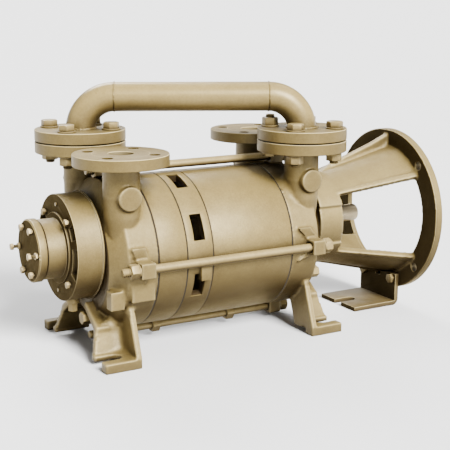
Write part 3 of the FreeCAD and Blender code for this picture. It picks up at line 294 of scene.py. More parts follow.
def ring(name, inner, outer, low, high, edge=0.0004, sides=64):
    """Washer or collar along Z, with its outer edges broken."""
    return turned(name, [(low, inner), (low, outer - edge), (low + edge, outer), (high - edge, outer),
                         (high - edge * 0.3, outer - edge * 0.7), (high, outer - edge), (high, inner)],
                  sides)


def on_axis(axis, place, spin=0.0):
    """Stands a model that was made along Z on a place, pointing along an axis."""
    turn = Vector((0, 0, 1)).rotation_difference(Vector(axis)).to_matrix().to_4x4()
    return Matrix.Translation(Vector(place)) @ turn @ Matrix.Rotation(math.radians(spin), 4, "Z")


def around(radius, angles, x=0.0, up=0.0):
    """Places on a circle round the shaft, at a station x, with the circle moved up."""
    turns = [math.radians(angle) for angle in angles]
    return [(x, radius * math.cos(turn), radius * math.sin(turn) + up) for turn in turns]


# Surface relief of castings

def read_vectors(items, name, width):
    """One property of all points, edges or faces of a mesh, as rows of numbers."""
    values = np.empty(len(items) * width)
    items.foreach_get(name, values)
    return values.reshape(-1, width)


def relief(mesh):
    """How far each point lies in a hollow, positive, or on an edge, negative, in edge lengths.

    The points at the two ends of each edge come with it.
    """
    points = read_vectors(mesh.vertices, "co", 3)
    normals = read_vectors(mesh.vertices, "normal", 3)
    pairs = read_vectors(mesh.edges, "vertices", 2).astype(int)
    first, second = pairs.T
    total = np.zeros_like(points)
    count = np.zeros(len(points))
    np.add.at(total, first, points[second])
    np.add.at(total, second, points[first])
    np.add.at(count, first, 1)
    np.add.at(count, second, 1)
    rise = ((total / count[:, None] - points) * normals).sum(1)
    return rise / np.linalg.norm(points[first] - points[second], axis=1).mean(), first, second


def with_neighbours(values, first, second):
    """Values at the points of a mesh, averaged with those of their neighbours."""
    total = values.copy()
    count = np.ones(len(values))
    np.add.at(total, first, values[second])
    np.add.at(total, second, values[first])
    np.add.at(count, first, 1)
    np.add.at(count, second, 1)
    return total / count


def smooth_marked(piece, marked, factor, rounds):
    """Smooths only the points that are marked."""
    group = piece.vertex_groups.new(name="marked")
    group.add(np.flatnonzero(marked).tolist(), 1.0, "REPLACE")
    modify(piece, "SMOOTH", factor=factor, iterations=rounds, vertex_group="marked")
    piece.vertex_groups.clear()


def fillet(piece, width, rounds, near=None):
    """Smooths the inner corners of a casting and a band beside them, and leaves its edges."""
    rise, first, second = relief(piece.data)
    band = rise > 0.1
    if near is not None:
        band &= near(read_vectors(piece.data.vertices, "co", 3))
    for _ in range(width):
        grown = band.copy()
        grown[first] |= band[second]
        grown[second] |= band[first]
        band = grown
    smooth_marked(piece, band, 0.6, rounds)


def mark_edges(piece):
    """Marks how sharply the points of a casting stand out, for worn paint that also serves as a painted edge
    highlight.
    """
    rise, first, second = relief(piece.data)
    edge = np.clip(with_neighbours(np.clip(-rise, 0, None), first, second) * 3, 0, 1)
    piece.data.attributes.new("edge", "FLOAT", "POINT").data.foreach_set("value", edge)


def mark_narrow(piece, width, mark=1.0):
    """Marks the narrow faces that a bevel leaves: 1 for worn paint with a painted edge highlight, -1 for a
    dirty joint.
    """
    mesh = piece.data
    pairs = read_vectors(mesh.edges, "vertices", 2).astype(int)
    points = read_vectors(mesh.vertices, "co", 3)
    lengths = np.linalg.norm(points[pairs[:, 0]] - points[pairs[:, 1]], axis=1)
    corner_edges = read_vectors(mesh.loops, "edge_index", 1).astype(int)[:, 0]
    starts = read_vectors(mesh.polygons, "loop_start", 1).astype(int)[:, 0]
    longest = np.maximum.reduceat(lengths[corner_edges], starts)
    across = read_vectors(mesh.polygons, "area", 1)[:, 0] / longest
    mesh.attributes.new("edge", "FLOAT", "FACE").data.foreach_set("value", (across < width) * mark)


def cast(piece, voxel, fillet_width, fillet_rounds, budget, wide=None, soft=None):
    """Turns a piece into one rough casting with filled corners.

    wide says where the fillets are large, and soft where edges are rounded off too.
    budget is the number of triangles that it may keep.
    """
    modify(piece, "REMESH", mode="VOXEL", voxel_size=voxel, adaptivity=0.0)
    modify(piece, "SMOOTH", factor=0.5, iterations=2)
    if soft is not None:
        smooth_marked(piece, soft(read_vectors(piece.data.vertices, "co", 3)), 0.5, 60)
    if wide is not None:
        fillet(piece, 9, 120, wide)
    fillet(piece, fillet_width, fillet_rounds)
    waves = bpy.data.textures.new("casting_waves", "CLOUDS")
    waves.noise_scale = 0.02
    modify(piece, "DISPLACE", texture=waves, texture_coords="LOCAL", strength=CASTING_WAVE,
           mid_level=0.5)
    triangles = sum(len(face.vertices) - 2 for face in piece.data.polygons)
    if triangles > budget:
        modify(piece, "DECIMATE", ratio=budget / triangles)
    mark_edges(piece)


# Materials

class Level:
    """A number that varies over a surface; arithmetic on it adds Math nodes."""

    def __init__(self, finish, socket):
        self.finish = finish
        self.socket = socket

    def math(self, operation, first, second):
        return self.finish.add("ShaderNodeMath", {"operation": operation}, {0: first, 1: second})

    def __add__(self, other):
        return self.math("ADD", self, other)

    def __sub__(self, other):
        return self.math("SUBTRACT", self, other)

    def __rsub__(self, other):
        return self.math("SUBTRACT", other, self)

    def __mul__(self, other):
        return self.math("MULTIPLY", self, other)


class Finish:
    """The nodes of a material or of the studio's walls, in the making."""

    def __init__(self, owner):
        self.owner = owner
        owner.use_nodes = True
        self.tree = owner.node_tree
        self.tree.nodes.clear()
        self.place = self.add("ShaderNodeTexCoord", {}, {}, "Object")

    def add(self, kind, settings, inputs, output=0):
        """Adds a node with its settings and the values or links of its sockets, and gives one output."""
        node = self.tree.nodes.new(kind)
        for name, value in settings.items():
            setattr(node, name, value)
        for name, value in inputs.items():
            if isinstance(value, Level):
                self.tree.links.new(value.socket, node.inputs[name])
            else:
                node.inputs[name].default_value = value
        return Level(self, node.outputs[output]) if node.outputs else None

    def noise(self, scale, detail=3.0, roughness=0.55, stretch=None):
        place = self.place
        if stretch:
            place = self.add("ShaderNodeMapping", {}, {"Vector": place, "Scale": stretch})
        return self.add("ShaderNodeTexNoise", {}, {"Vector": place, "Scale": scale, "Detail": detail,
                                                   "Roughness": roughness})

    def ramp(self, value, low, high, start=0.0, end=1.0):
        return self.add("ShaderNodeMapRange", {"clamp": True},
                        {"Value": value, "From Min": low, "From Max": high, "To Min": start, "To Max": end})

    def blend(self, amount, first, second):
        """Colour that goes from the first to the second."""
        mixer = self.tree.nodes.new("ShaderNodeMix")
        mixer.data_type = "RGBA"
        for name, value in (("Factor_Float", amount), ("A_Color", first), ("B_Color", second)):
            socket = next(s for s in mixer.inputs if s.identifier == name)
            if isinstance(value, Level):
                self.tree.links.new(value.socket, socket)
            else:
                socket.default_value = value
        return Level(self, next(s for s in mixer.outputs if s.identifier == "Result_Color"))

    def attribute(self, name):
        return self.add("ShaderNodeAttribute", {"attribute_name": name}, {}, "Fac")

    def nearness(self, distance):
        """How much other surfaces close a point in, from 0 to 1."""
        light = self.add("ShaderNodeAmbientOcclusion", {"samples": 8}, {"Distance": distance}, "AO")
        return 1 - light

    def facing(self, axis, start, end):
        """From 0 to 1 as the surface's normal turns from start to end along an axis."""
        normal = self.add("ShaderNodeNewGeometry", {}, {}, "Normal")
        return self.ramp(self.add("ShaderNodeSeparateXYZ", {}, {"Vector": normal}, axis), start, end)

    def axis_distance(self):
        """Distance from the axis of the casings."""
        away = self.add("ShaderNodeVectorMath", {"operation": "MULTIPLY_ADD"},
                        {0: self.place, 1: (0, 1, 1), 2: (0, 0, -CASING_AXIS)})
        return self.add("ShaderNodeVectorMath", {"operation": "LENGTH"}, {0: away}, "Value")

    def bump(self, height, distance, strength):
        return self.add("ShaderNodeBump", {},
                        {"Height": height, "Distance": distance, "Strength": strength})

    def surface(self, **sockets):
        names = {name.replace("_", " ").title(): value for name, value in sockets.items()}
        shader = self.add("ShaderNodeBsdfPrincipled", {}, names)
        self.add("ShaderNodeOutputMaterial", {}, {"Surface": shader})
        return self.owner


def new_finish(name):
    return Finish(bpy.data.materials.new(name))


def rgb(red, green, blue):
    return (red, green, blue, 1)


def enamel(name, light, dark, grain, grain_depth, shine, shade_core=0.0, corner_shade_reach=0.045, minus_x_shade=0.0,
           seams=(), underside_shade=0.9):
    """Sand coloured enamel in two shades, with worn edges that double as a painted edge highlight, and with
    painted shade in corners, in crevices and on undersides.

    grain and grain_depth give the skin, and corner_shade_reach says how far the painted corner shade
    reaches.
    minus_x_shade says how dark the faces towards -X are painted as shade, underside_shade how dark the
    undersides are painted as shade, and shade_core is the radius within which it is painted near black as
    shade. seams are dark lines: place on X, half width and the radius that they end at; the joints' lines
    are dark joints, and a wide one can be a band of painted shade.
    """
    paint = new_finish(name)
    patches = paint.noise(7, 3)
    mottle = paint.noise(55, 4, 0.6)
    sand = paint.noise(300, 2, 0.6)
    amount = paint.ramp(patches * 0.45 + mottle * 0.25 + sand * 0.3, 0.40, 0.60)
    colour = paint.blend(amount, light, dark)
    edge = paint.attribute("edge")
    # Worn paint on the edges, light enough to stand in as a painted edge highlight; negative marks darken
    # dirty joints
    colour = paint.blend(paint.ramp(edge, 0, 1, 0, 0.7), colour, WORN_AND_HIGHLIGHT)
    colour = paint.blend(paint.ramp(edge, 0, -1, 0, 0.92), colour, SOOT_AND_SHADE)
    roughness = paint.ramp(patches + mottle * 0.5, 0.5, 1.0, shine, shine + 0.16)
    # Painted shade on undersides: faces that turn down blend towards near black and turn metallic, so they
    # stay dark
    underside_shade_mask = paint.facing(2, 0.3, -0.6)
    metallic = underside_shade_mask * (underside_shade * 0.78)
    # Painted shade on faces towards -X: they blend towards near black and turn rougher and metallic
    if minus_x_shade:
        face = paint.facing(0, -0.9, -0.98)
        colour = paint.blend(face * minus_x_shade, colour, SOOT_AND_SHADE)
        roughness = roughness + face * 0.3
        metallic = metallic.math("MAXIMUM", metallic, face * 0.75)
    colour = paint.blend(underside_shade_mask * underside_shade, colour, SOOT_AND_SHADE)
    # Painted shade in corners and crevices, from ambient occlusion over a long and a short reach
    corner_shade = paint.ramp(paint.nearness(corner_shade_reach) + mottle * 0.16, 0.2, 0.85)
    colour = paint.blend(corner_shade * 0.95, colour, SOOT_AND_SHADE)
    crevice_shade = paint.ramp(paint.nearness(0.004), 0.3, 0.75)
    colour = paint.blend(crevice_shade * 0.9, colour, SOOT_AND_SHADE)
    specks = paint.ramp(paint.noise(420, 2), 0.70, 0.78)
    colour = paint.blend(specks * 0.3, colour, SOOT_AND_SHADE)
    # Dark lines at the joints; the wide line at the hub's root is a band of painted shade
    for place, width, limit in seams:
        along = paint.add("ShaderNodeSeparateXYZ", {}, {"Vector": paint.place}, 0)
        away = paint.add("ShaderNodeMath", {"operation": "ABSOLUTE"}, {0: along - place})
        line = paint.ramp(away, width * 0.6, width, 0.95, 0.0)
        inside = paint.ramp(paint.axis_distance(), limit - 0.001, limit, 1.0, 0.0)
        colour = paint.blend(line * inside, colour, SOOT_AND_SHADE)
    # Painted shade inside a radius: surfaces within it are painted near black
    if shade_core:
        inside = paint.ramp(paint.axis_distance(), shade_core - 0.0005, shade_core, 1.0, 0.0)
        colour = paint.blend(inside, colour, SOOT_AND_SHADE)
    height = paint.noise(grain, 4, 0.6) * grain_depth + paint.noise(45, 2) * 0.5
    return paint.surface(
        base_color=colour,
        roughness=roughness,
        metallic=metallic,
        specular_tint=SHEEN,
        normal=paint.bump(height, 0.0006, 0.7),
    )


def metal(name, light, dark, shine, stretch=(1, 1, 1)):
    """Bare metal with stains, and with streaks that are drawn out where it is turned."""
    steel = new_finish(name)
    streaks = steel.noise(260, 3, 0.5, stretch)
    stains = steel.noise(24, 3)
    return steel.surface(
        base_color=steel.blend(steel.ramp(stains, 0.35, 0.7), light, dark),
        metallic=1.0,
        roughness=steel.ramp(streaks + stains * 0.4, 0.4, 1.0, shine, shine + 0.2),
        normal=steel.bump(streaks, 0.0001, 0.35),
    )


def plain(name, light, dark, shine):
    """Rubber, carbon or fibre."""
    rubber = new_finish(name)
    specks = rubber.noise(300, 3, 0.6)
    return rubber.surface(
        base_color=rubber.blend(rubber.ramp(specks, 0.35, 0.65), light, dark),
        roughness=rubber.ramp(specks, 0.3, 0.7, shine, shine + 0.15),
        normal=rubber.bump(specks, 0.0002, 0.5),
    )


# Dark lines of the paint at the joints, and a wide band of painted shade at the hub's root: place on X, half
# width, radius that they end at
CYLINDER_RADIUS_LIMIT, SHOULDER_LIMIT = 0.1265, 0.095
CASING_JOINTS = (
    (-0.2995, 0.0018, CYLINDER_RADIUS_LIMIT),
    (-0.5465, 0.0018, CYLINDER_RADIUS_LIMIT),
    (-0.227, 0.0018, SHOULDER_LIMIT),
    (-0.619, 0.0018, SHOULDER_LIMIT),
)
BRACKET_JOINTS = (
    (-0.619, 0.0018, CYLINDER_RADIUS_LIMIT),
    (-0.699, 0.0024, CYLINDER_RADIUS_LIMIT),
)
# Wide band of painted shade on the lantern hub's root, where the casing's shoulder meets it
HUB_ROOT_SHADE = (-0.227, 0.0160, CYLINDER_RADIUS_LIMIT)

# Colours, lighter and darker shade of each
SHEEN = rgb(0.95, 0.80, 0.50)
# Colour of worn paint, which is also a painted edge highlight
WORN_AND_HIGHLIGHT = rgb(0.46, 0.37, 0.19)
# Near black for dirty joints and specks, also used for all painted shade
SOOT_AND_SHADE = rgb(0.016, 0.009, 0.003)
SAND = (rgb(0.144, 0.104, 0.0345), rgb(0.104, 0.072, 0.0215))
PIPE_SAND = (rgb(0.195, 0.143, 0.052), rgb(0.145, 0.103, 0.034))
FASTENER_SAND = (rgb(0.22, 0.162, 0.065), rgb(0.15, 0.108, 0.04))
# Much lighter sand for the small screws, as painted light so that they read as lit
SCREW_SAND_LIT = (rgb(0.38, 0.29, 0.14), rgb(0.27, 0.20, 0.09))
# Sand darkened as painted shade for the support foot
FOOT_SHADED_SAND = (rgb(0.095, 0.067, 0.024), rgb(0.066, 0.045, 0.015))
# Near black that stands in for the shade inside the lantern hub
IRON_IN_SHADE = (rgb(0.030, 0.020, 0.009), rgb(0.016, 0.010, 0.005))
STEEL = (rgb(0.40, 0.33, 0.21), rgb(0.25, 0.20, 0.12))
BRONZE = (rgb(0.55, 0.36, 0.15), rgb(0.36, 0.23, 0.10))
CARBON = (rgb(0.035, 0.034, 0.033), rgb(0.02, 0.02, 0.02))
FIBRE = (rgb(0.012, 0.009, 0.006), rgb(0.006, 0.005, 0.003))
BRASS = (rgb(0.62, 0.46, 0.20), rgb(0.45, 0.32, 0.14))

# Skins, as the fineness and the depth of the grain
CAST, SHEET, FORGED = (520, 1.0), (900, 0.35), (1400, 0.3)

# Every enamel paints shade on its undersides, corners and crevices and lightens worn edges as a painted
# highlight; several also paint shade on faces towards -X, inside a radius or at the hub's root
FINISHES = {
    "cast_paint": enamel("cast_enamel", *SAND, *CAST, 0.36, seams=CASING_JOINTS),
    "minus_x_shaded_paint": enamel("minus_x_shaded_enamel", *SAND, *CAST, 0.38, minus_x_shade=0.82, seams=BRACKET_JOINTS),
    "lantern_paint": enamel("lantern_enamel", *SAND, *CAST, 0.38, minus_x_shade=0.82, seams=(HUB_ROOT_SHADE,)),
    "ring_paint": enamel("ring_enamel", *SAND, *CAST, 0.40, shade_core=0.1225),
    "sheet_paint": enamel("plate_enamel", *SAND, *SHEET, 0.34),
    "pipe_paint": enamel("pipe_enamel", *PIPE_SAND, *SHEET, 0.27, underside_shade=0.55),
    "fastener_paint": enamel("fastener_enamel", *FASTENER_SAND, *FORGED, 0.30, corner_shade_reach=0.008),
    "lit_screw_paint": enamel("lit_screw_enamel", *SCREW_SAND_LIT, *FORGED, 0.28, corner_shade_reach=0.005),
    "foot_paint": enamel("foot_enamel", *FOOT_SHADED_SAND, *SHEET, 0.40, minus_x_shade=0.75),
    "shade_dark_iron": enamel("shade_dark_iron", *IRON_IN_SHADE, 600, 0.8, 0.45),
    "machined_steel": metal("turned_steel", *STEEL, 0.24, (9, 1, 1)),
    "impeller_bronze": metal("cast_bronze", *BRONZE, 0.42),
    "seal_carbon": plain("carbon_and_rubber", *CARBON, 0.45),
    "gasket_fibre": plain("gasket_fibre", *FIBRE, 0.85),
    "cage_steel": metal("pressed_brass", *BRASS, 0.3),
}


def dress(piece, slot, *replaced, body="pump_frame", angle=35, finish=None):
    """Gives a finished piece its shading, material and body, and what it stands for."""
    only(piece)
    bpy.ops.object.shade_smooth_by_angle(angle=math.radians(angle))
    piece.data.materials.clear()
    piece.data.materials.append(FINISHES[finish or slot])
    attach(piece, body)
    if replaced:
        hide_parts(*replaced)


# Castings

def flowing(points):
    """Points round the foot of a neck, and inside the feet, where one form flows into the next."""
    neck_foot, lug_side = 0.055, 0.104
    foot_side, foot_top = 0.07, -0.085
    x, y, z = points.T
    neck = np.zeros(len(points), bool)
    for across, along in SUCTION_NECKS + DISCHARGE_NECKS:
        neck |= np.hypot(x - across, y - along) < neck_foot
    neck &= (z > -0.03) & (z < 0.115) & (np.abs(y) < lug_side)
    feet = (np.abs(y) > foot_side) & (z < foot_top)
    return neck | feet


def web_tops(points):
    """Points on the plates that brace the feet, clear of the upright plates and of the pads."""
    left_plate, right_plate = -0.5955, -0.2505
    low, high, inner_side = -0.138, -0.092, 0.076
    x, y, z = points.T
    outside = (x < left_plate) | (x > right_plate)
    return outside & (np.abs(y) > inner_side) & (z > low) & (z < high)


def neck_root(x, y):
    """Tapered foot that carries a neck down into its casing, with the neck's bore left open."""
    root = turned("root", [(-0.06, 0), (-0.06, 0.008), (0.0, 0.0230), (0.058, 0.0289), (0.10, 0.0292),
                           (0.13, 0.0290), (0.13, 0)])
    bore = rod("bore", NECK_BORE, 0.06, 0.14, 64)
    for part in (root, bore):
        part.data.transform(Matrix.Translation((x, y, 0)))
    boolean(root, bore)
    return root


def end_casings():
    for label, necks in (("suction_casing", SUCTION_NECKS), ("discharge_casing", DISCHARGE_NECKS)):
        piece = from_node(label, label + "_casting")
        for x, y in necks:
            boolean(piece, neck_root(x, y), "UNION")
        cut_beyond(piece, 2, FLANGE_LOW + 0.003)
        cast(piece, 0.0018, 3, 22, 190000, flowing, web_tops)
        dress(piece, "cast_paint", label, angle=60)


def flange_disc(bore):
    """Pipe flange with four bolt holes, on Z = 0, with a fine turned line on its face."""
    edge, line, hole_radius = 0.0008, 0.045, 0.009
    rim, face = FLANGE_RADIUS, FLANGE_THICKNESS
    disc = turned("disc", [(0, bore), (0, rim - edge), (edge, rim), (face - edge, rim), (face, rim - edge),
                           (face, line), (face, line - edge), (face, bore + edge), (face - edge, bore)], 128)
    for across in (-1, 1):
        for along in (-1, 1):
            hole = rod("hole", hole_radius, -0.01, 0.03, 40)
            hole.data.transform(Matrix.Translation((across * BOLT_OFFSET, along * BOLT_OFFSET, 0)))
            boolean(disc, hole)
    mark_narrow(disc, 0.0012)
    return disc


def casing_flanges():
    for name, necks in (("suction_flanges", SUCTION_NECKS), ("discharge_flanges", DISCHARGE_NECKS)):
        places = [Matrix.Translation((x, y, FLANGE_LOW)) for x, y in necks]
        dress(repeat(flange_disc(NECK_BORE), name, places), "sheet_paint")


def lantern():
    """Hub and arms as one casting, with a groove round the hub's root, up to the back of the motor ring."""
    groove_inside, groove_outside = 0.0735, 0.130
    groove_start, groove_end = -0.240, -0.2125
    piece = from_node("motor_lantern", "lantern_casting")
    cut_beyond(piece, 0, MOTOR_RING_BACK + 0.002)
    groove = turned("groove", [(groove_start, groove_inside), (groove_start, groove_outside),
                               (groove_end, groove_outside), (groove_end, groove_inside)], 128)
    groove.data.transform(on_axis((1, 0, 0), (0, 0, CASING_AXIS)))
    boolean(piece, groove)
    cast(piece, 0.0020, 4, 30, 160000)
    dress(piece, "cast_paint", "motor_lantern", angle=60, finish="lantern_paint")


def motor_ring():
    """Machined ring that the motor is bolted to, turned along Z and then laid along the shaft."""
    outside, inside, opening, spigot, hole_radius = 0.150, 0.118, 0.1105, 0.115, 0.00725
    back = MOTOR_RING_BACK
    rim = turned("motor_ring", [(back, opening), (back, outside), (-0.001, outside), (0, outside - 0.001),
                                (0, inside), (-0.003, spigot), (-0.006, spigot), (-0.006, opening)], 160)
    for _, across, up in around(MOTOR_BOLT_CIRCLE, (45, 135, 225, 315)):
        hole = rod("hole", hole_radius, -0.03, 0.01)
        hole.data.transform(Matrix.Translation((across, up, 0)))
        boolean(rim, hole)
    rim.data.transform(Matrix(((0, 0, 1, 0), (1, 0, 0, 0), (0, 1, 0, 0), (0, 0, 0, 1))))
    mark_narrow(rim, 0.0015)
    dress(rim, "cast_paint", finish="minus_x_shaded_paint")


def bevelled(label, slot, width, body="pump_frame", finish=None, mark=1.0):
    """Solid with its sharp edges broken; mark is 1 for worn edges that carry a painted highlight and -1 for
    dirty joints.
    """
    piece = from_node(label, label + "_dressed")
    edit(piece)
    bpy.ops.mesh.dissolve_limited(angle_limit=math.radians(1.0))
    leave()
    bevel(piece, width)
    mark_narrow(piece, width * 0.8, mark)
    dress(piece, slot, label, body=body, finish=finish)


def plain_castings():
    # The bracket, cover and cartridge paint shade on their faces towards -X
    bevelled("bearing_bracket", "cast_paint", 0.0014, finish="minus_x_shaded_paint")
    bevelled("end_cover", "cast_paint", 0.0012, finish="minus_x_shaded_paint")
    bevelled("bearing_cartridge", "cast_paint", 0.0012, finish="minus_x_shaded_paint")
    for label in ("stage_1_casing", "stage_2_casing"):
        bevelled(label, "cast_paint", 0.0015, mark=-1.0)
    bevelled("intermediate_ring", "cast_paint", 0.0010, finish="ring_paint", mark=-1.0)
    # The drive bearing cover is painted near black as shade inside the lantern hub
    bevelled("drive_bearing_cover", "cast_paint", 0.0008, finish="shade_dark_iron")
    # The support foot is painted darker as shade
    bevelled("support_foot", "sheet_paint", 0.0010, finish="foot_paint")
    bevelled("shaft", "machined_steel", 0.0005, "rotor")


# Pipe between the stages

def along_pipe(distance, height):
    """Place over the line between the two flanges, at a distance from the first."""
    way = (PIPE_END - PIPE_START).normalized()
    point = PIPE_START + way * distance
    return Vector((point.x, point.y, height))


def bead(name, radius, thickness, matrix):
    """Uneven weld round a pipe, made round Z."""
    bpy.ops.object.select_all(action="DESELECT")
    bpy.ops.mesh.primitive_torus_add(major_segments=150, minor_segments=12, major_radius=radius,
                                     minor_radius=thickness)
    piece = bpy.context.object
    piece.name = name
    ripples = bpy.data.textures.new("weld_ripples", "CLOUDS")
    ripples.noise_scale = 0.0035
    modify(piece, "DISPLACE", texture=ripples, texture_coords="LOCAL", strength=thickness * 0.7,
           mid_level=0.5)
    piece.data.transform(matrix)
    return piece


def bent_tube(radius, run, sides=80):
    """Tube made in its own frame: up, round a bend, along, round a bend and down."""
    bend = PIPE_HEIGHT - ELBOW
    bpy.ops.object.select_all(action="DESELECT")
    bpy.ops.mesh.primitive_circle_add(vertices=sides, radius=radius, location=(0, 0, PIPE_FLANGE_LOW))
    piece = bpy.context.object
    bpy.ops.object.transform_apply(location=True, rotation=True, scale=True)
    edit(piece)
    bpy.ops.mesh.extrude_region_move()
    bpy.ops.transform.translate(value=(0, 0, bend - PIPE_FLANGE_LOW))
    bpy.ops.mesh.spin(steps=24, angle=math.pi / 2, center=(ELBOW, 0, bend), axis=(0, -1, 0))
    bpy.ops.mesh.extrude_region_move()
    bpy.ops.transform.translate(value=(run - 2 * ELBOW, 0, 0))
    bpy.ops.mesh.spin(steps=24, angle=math.pi / 2, center=(run - ELBOW, 0, bend), axis=(0, -1, 0))
    bpy.ops.mesh.extrude_region_move()
    bpy.ops.transform.translate(value=(0, 0, PIPE_FLANGE_LOW - bend))
    bpy.ops.mesh.select_all(action="SELECT")
    bpy.ops.mesh.remove_doubles(threshold=0.00001)
    bpy.ops.mesh.normals_make_consistent(inside=False)
    leave()
    return piece


def interstage_pipe():
    run = (PIPE_END - PIPE_START).length
    piece = bent_tube(PIPE_RADIUS, run)
    piece.name = "bridge_pipe"
    modify(piece, "SOLIDIFY", thickness=PIPE_WALL, offset=-1)
    turn = (PIPE_END - PIPE_START).to_track_quat("X", "Z").to_matrix().to_4x4()
    piece.data.transform(Matrix.Translation(PIPE_START) @ turn)
    dress(piece, "sheet_paint", "interstage_pipe", angle=40, finish="pipe_paint")
    way = (PIPE_END - PIPE_START).normalized()
    beads = [
        bead("bead", PIPE_RADIUS - 0.0006, 0.0016, on_axis(way, along_pipe(distance, PIPE_HEIGHT)))
        for distance in (ELBOW, run - ELBOW)
    ]
    beads += [
        bead("bead", PIPE_RADIUS + 0.0010, 0.0030, Matrix.Translation(along_pipe(distance, PIPE_FLANGE_TOP)))
        for distance in (0, run)
    ]
    dress(join(beads, "pipe_welds"), "sheet_paint")
    places = [Matrix.Translation((point.x, point.y, PIPE_FLANGE_LOW)) for point in (PIPE_START, PIPE_END)]
    dress(repeat(flange_disc(PIPE_RADIUS), "loose_flanges", places), "sheet_paint", "pipe_flanges")


# Fasteners

def flange_bolts():
    """Bolts through both flanged joints; one stands head down, as in the photograph."""
    flats, head_height, nut_height = 0.024, 0.010, 0.013
    heads, nuts, washers = [], [], []
    head_down = (PIPE_END.x - BOLT_OFFSET, PIPE_END.y + BOLT_OFFSET)
    spin = 15
    for centre in (PIPE_START, PIPE_END):
        for across in (-1, 1):
            for along in (-1, 1):
                x, y = centre.x + across * BOLT_OFFSET, centre.y + along * BOLT_OFFSET
                spin += 23
                ends = [((0, 0, 1), (x, y, PIPE_FLANGE_TOP + WASHER)),
                        ((0, 0, -1), (x, y, FLANGE_LOW - WASHER))]
                if (x, y) == head_down:
                    ends.reverse()
                heads.append(on_axis(*ends[0], spin))
                nuts.append(on_axis(*ends[1], spin + 20))
                washers += [Matrix.Translation((x, y, PIPE_FLANGE_TOP)),
                            Matrix.Translation((x, y, FLANGE_LOW - WASHER))]
    head = hexagon("head", flats, head_height)
    dress(repeat(head, "flange_bolt_heads", heads), "fastener_paint", "flange_bolts")
    stud = thread("stud", 0.0079, 0.002, 0.018)
    nut = join([hexagon("nut", flats, nut_height), stud], "nut")
    dress(repeat(nut, "flange_bolt_nuts", nuts), "fastener_paint", "flange_nuts")
    washer = ring("washer", 0.008, 0.0152, 0, WASHER)
    dress(repeat(washer, "flange_bolt_washers", washers), "fastener_paint", "flange_washers")


def tie_rods():
    """Four rods between the lugs, with a longer threaded end on the left."""
    flats, nut_height = 0.022, 0.013
    low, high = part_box("tie_rod_washers")
    left, right = low.x + WASHER, high.x - WASHER
    rods, nuts, washers = [], [], []
    for index, (_, y, z) in enumerate(around(ROD_CIRCLE, (0, 90, 180, 270), 0, CASING_AXIS)):
        rods.append(on_axis((1, 0, 0), (0, y, z)))
        nuts += [on_axis((1, 0, 0), (right + WASHER, y, z), index * 35 + 10),
                 on_axis((-1, 0, 0), (left - WASHER, y, z), index * 35 + 50)]
        washers += [on_axis((1, 0, 0), (right, y, z)), on_axis((-1, 0, 0), (left, y, z))]
    bar = rod("bar", ROD_RADIUS, left - 0.0005, right + 0.0005, 48)
    tip = thread("tip", ROD_RADIUS, 0, 0.0185)
    longer = Matrix.Scale(1.54, 4, (0, 0, 1))
    tips = repeat(tip, "tips", [Matrix.Translation((0, 0, right)),
                                on_axis((0, 0, -1), (0, 0, left + 0.0005)) @ longer])
    dress(repeat(join([bar, tips], "bar"), "long_tie_rods", rods), "fastener_paint", "tie_rods")
    nut = hexagon("nut", flats, nut_height)
    dress(repeat(nut, "tie_rod_end_nuts", nuts), "fastener_paint", "tie_rod_nuts")
    washer = ring("washer", ROD_RADIUS, 0.0117, 0, WASHER)
    dress(repeat(washer, "tie_rod_end_washers", washers), "fastener_paint", "tie_rod_washers")


def screw_set(name, replaced, size, places, out, collar=0.0, finish="lit_screw_paint"):
    """Hexagon heads that stand on a face, each on a spring washer where it has one.

    size holds the width across flats, the height of the head and the radius of the shank.
    """
    flats, height, radius = size
    head = hexagon("head", flats, height)
    head.data.transform(Matrix.Translation((0, 0, collar)))
    parts = [head]
    if collar:
        parts.append(ring("collar", 0, radius + 0.0012, 0, collar, 0.0003, 32))
    parts.append(rod("shank", radius, -0.002, collar + 0.001))
    matrices = [on_axis(out, place, 17 + 31 * index) for index, place in enumerate(places)]
    dress(repeat(join(parts, "screw"), name, matrices), "fastener_paint", replaced, finish=finish)


def jacking_screws(places):
    """Threaded stems with a small head at the end and a lock nut at the cover."""
    stem = thread("stem", 0.003, 0, 0.0125, 0.001)
    head = hexagon("head", 0.010, 0.0045)
    head.data.transform(Matrix.Translation((0, 0, 0.0115)))
    locknut = hexagon("locknut", 0.010, 0.004)
    model = join([stem, head, locknut], "jack")
    matrices = [on_axis((-1, 0, 0), place, 20 + 25 * index) for index, place in enumerate(places)]
    dress(repeat(model, "cover_jacking_screws", matrices), "fastener_paint", "jacking_screws",
          finish="lit_screw_paint")


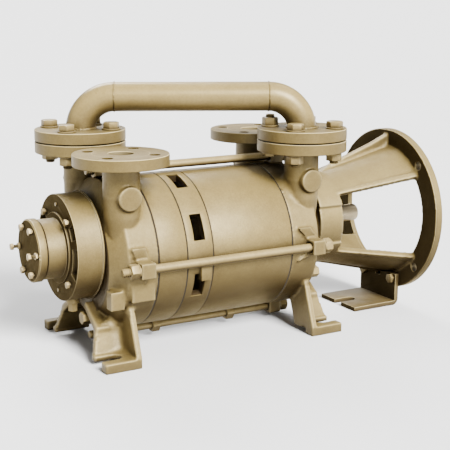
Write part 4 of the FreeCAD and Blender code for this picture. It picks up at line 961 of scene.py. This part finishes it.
def screws():
    cover_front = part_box("end_cover")[0].x
    bracket_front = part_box("bearing_bracket")[0].x
    drive_cover_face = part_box("drive_bearing_cover")[1].x
    hub_face, foot_back = -0.164, -0.0225
    cover_circle, bracket_circle, hub_circle, drive_cover_circle = 0.040, 0.070, 0.066, 0.044
    small, middle, large = (0.010, 0.0045, 0.003), (0.013, 0.0055, 0.004), (0.016, 0.0064, 0.005)
    screw_set("cover_screw_heads", "end_cover_screws", small,
              around(cover_circle, (60, 120, 240, 300), cover_front), (-1, 0, 0), WASHER)
    jacking_screws(around(cover_circle, (0, 180), cover_front))
    screw_set("bracket_screw_heads", "bracket_screws", small,
              around(bracket_circle, (45, 135, 225, 315), bracket_front), (-1, 0, 0), WASHER)
    screw_set("lantern_screw_heads", "lantern_screws", middle,
              around(hub_circle, (45, 135, 225, 315), hub_face), (1, 0, 0))
    screw_set("drive_cover_screw_heads", "drive_cover_screws", small,
              around(drive_cover_circle, (0, 90, 180, 270), drive_cover_face), (1, 0, 0))
    screw_set("support_screw_heads", "support_foot_screws", large,
              around(MOTOR_BOLT_CIRCLE, (252, 288), foot_back), (-1, 0, 0), finish="fastener_paint")


# The rest of the solids keep their shape and get a finish

def finish_solids():
    slots = {part["node"]: part["material_slot"] for part in frame["record"]["subparts"]}
    for label, piece in nodes.items():
        only(piece)
        for slot in piece.material_slots:
            slot.material = FINISHES[slots[label]]


def floor():
    bpy.ops.object.select_all(action="DESELECT")
    bpy.ops.mesh.primitive_plane_add(size=240, location=(0, 0, FLOOR))
    piece = bpy.context.object
    piece.name = "floor"
    bpy.ops.object.transform_apply(location=True, rotation=True, scale=True)
    pale = new_finish("pale_floor")
    dust = pale.noise(3, 3)
    piece.data.materials.append(pale.surface(
        base_color=pale.blend(dust, rgb(0.64, 0.64, 0.635), rgb(0.66, 0.66, 0.66)),
        roughness=0.85,
    ))


set_camera()
set_studio()
finish_solids()
end_casings()
casing_flanges()
lantern()
motor_ring()
plain_castings()
interstage_pipe()
flange_bolts()
tie_rods()
screws()
floor()

bpy.context.view_layer.update()
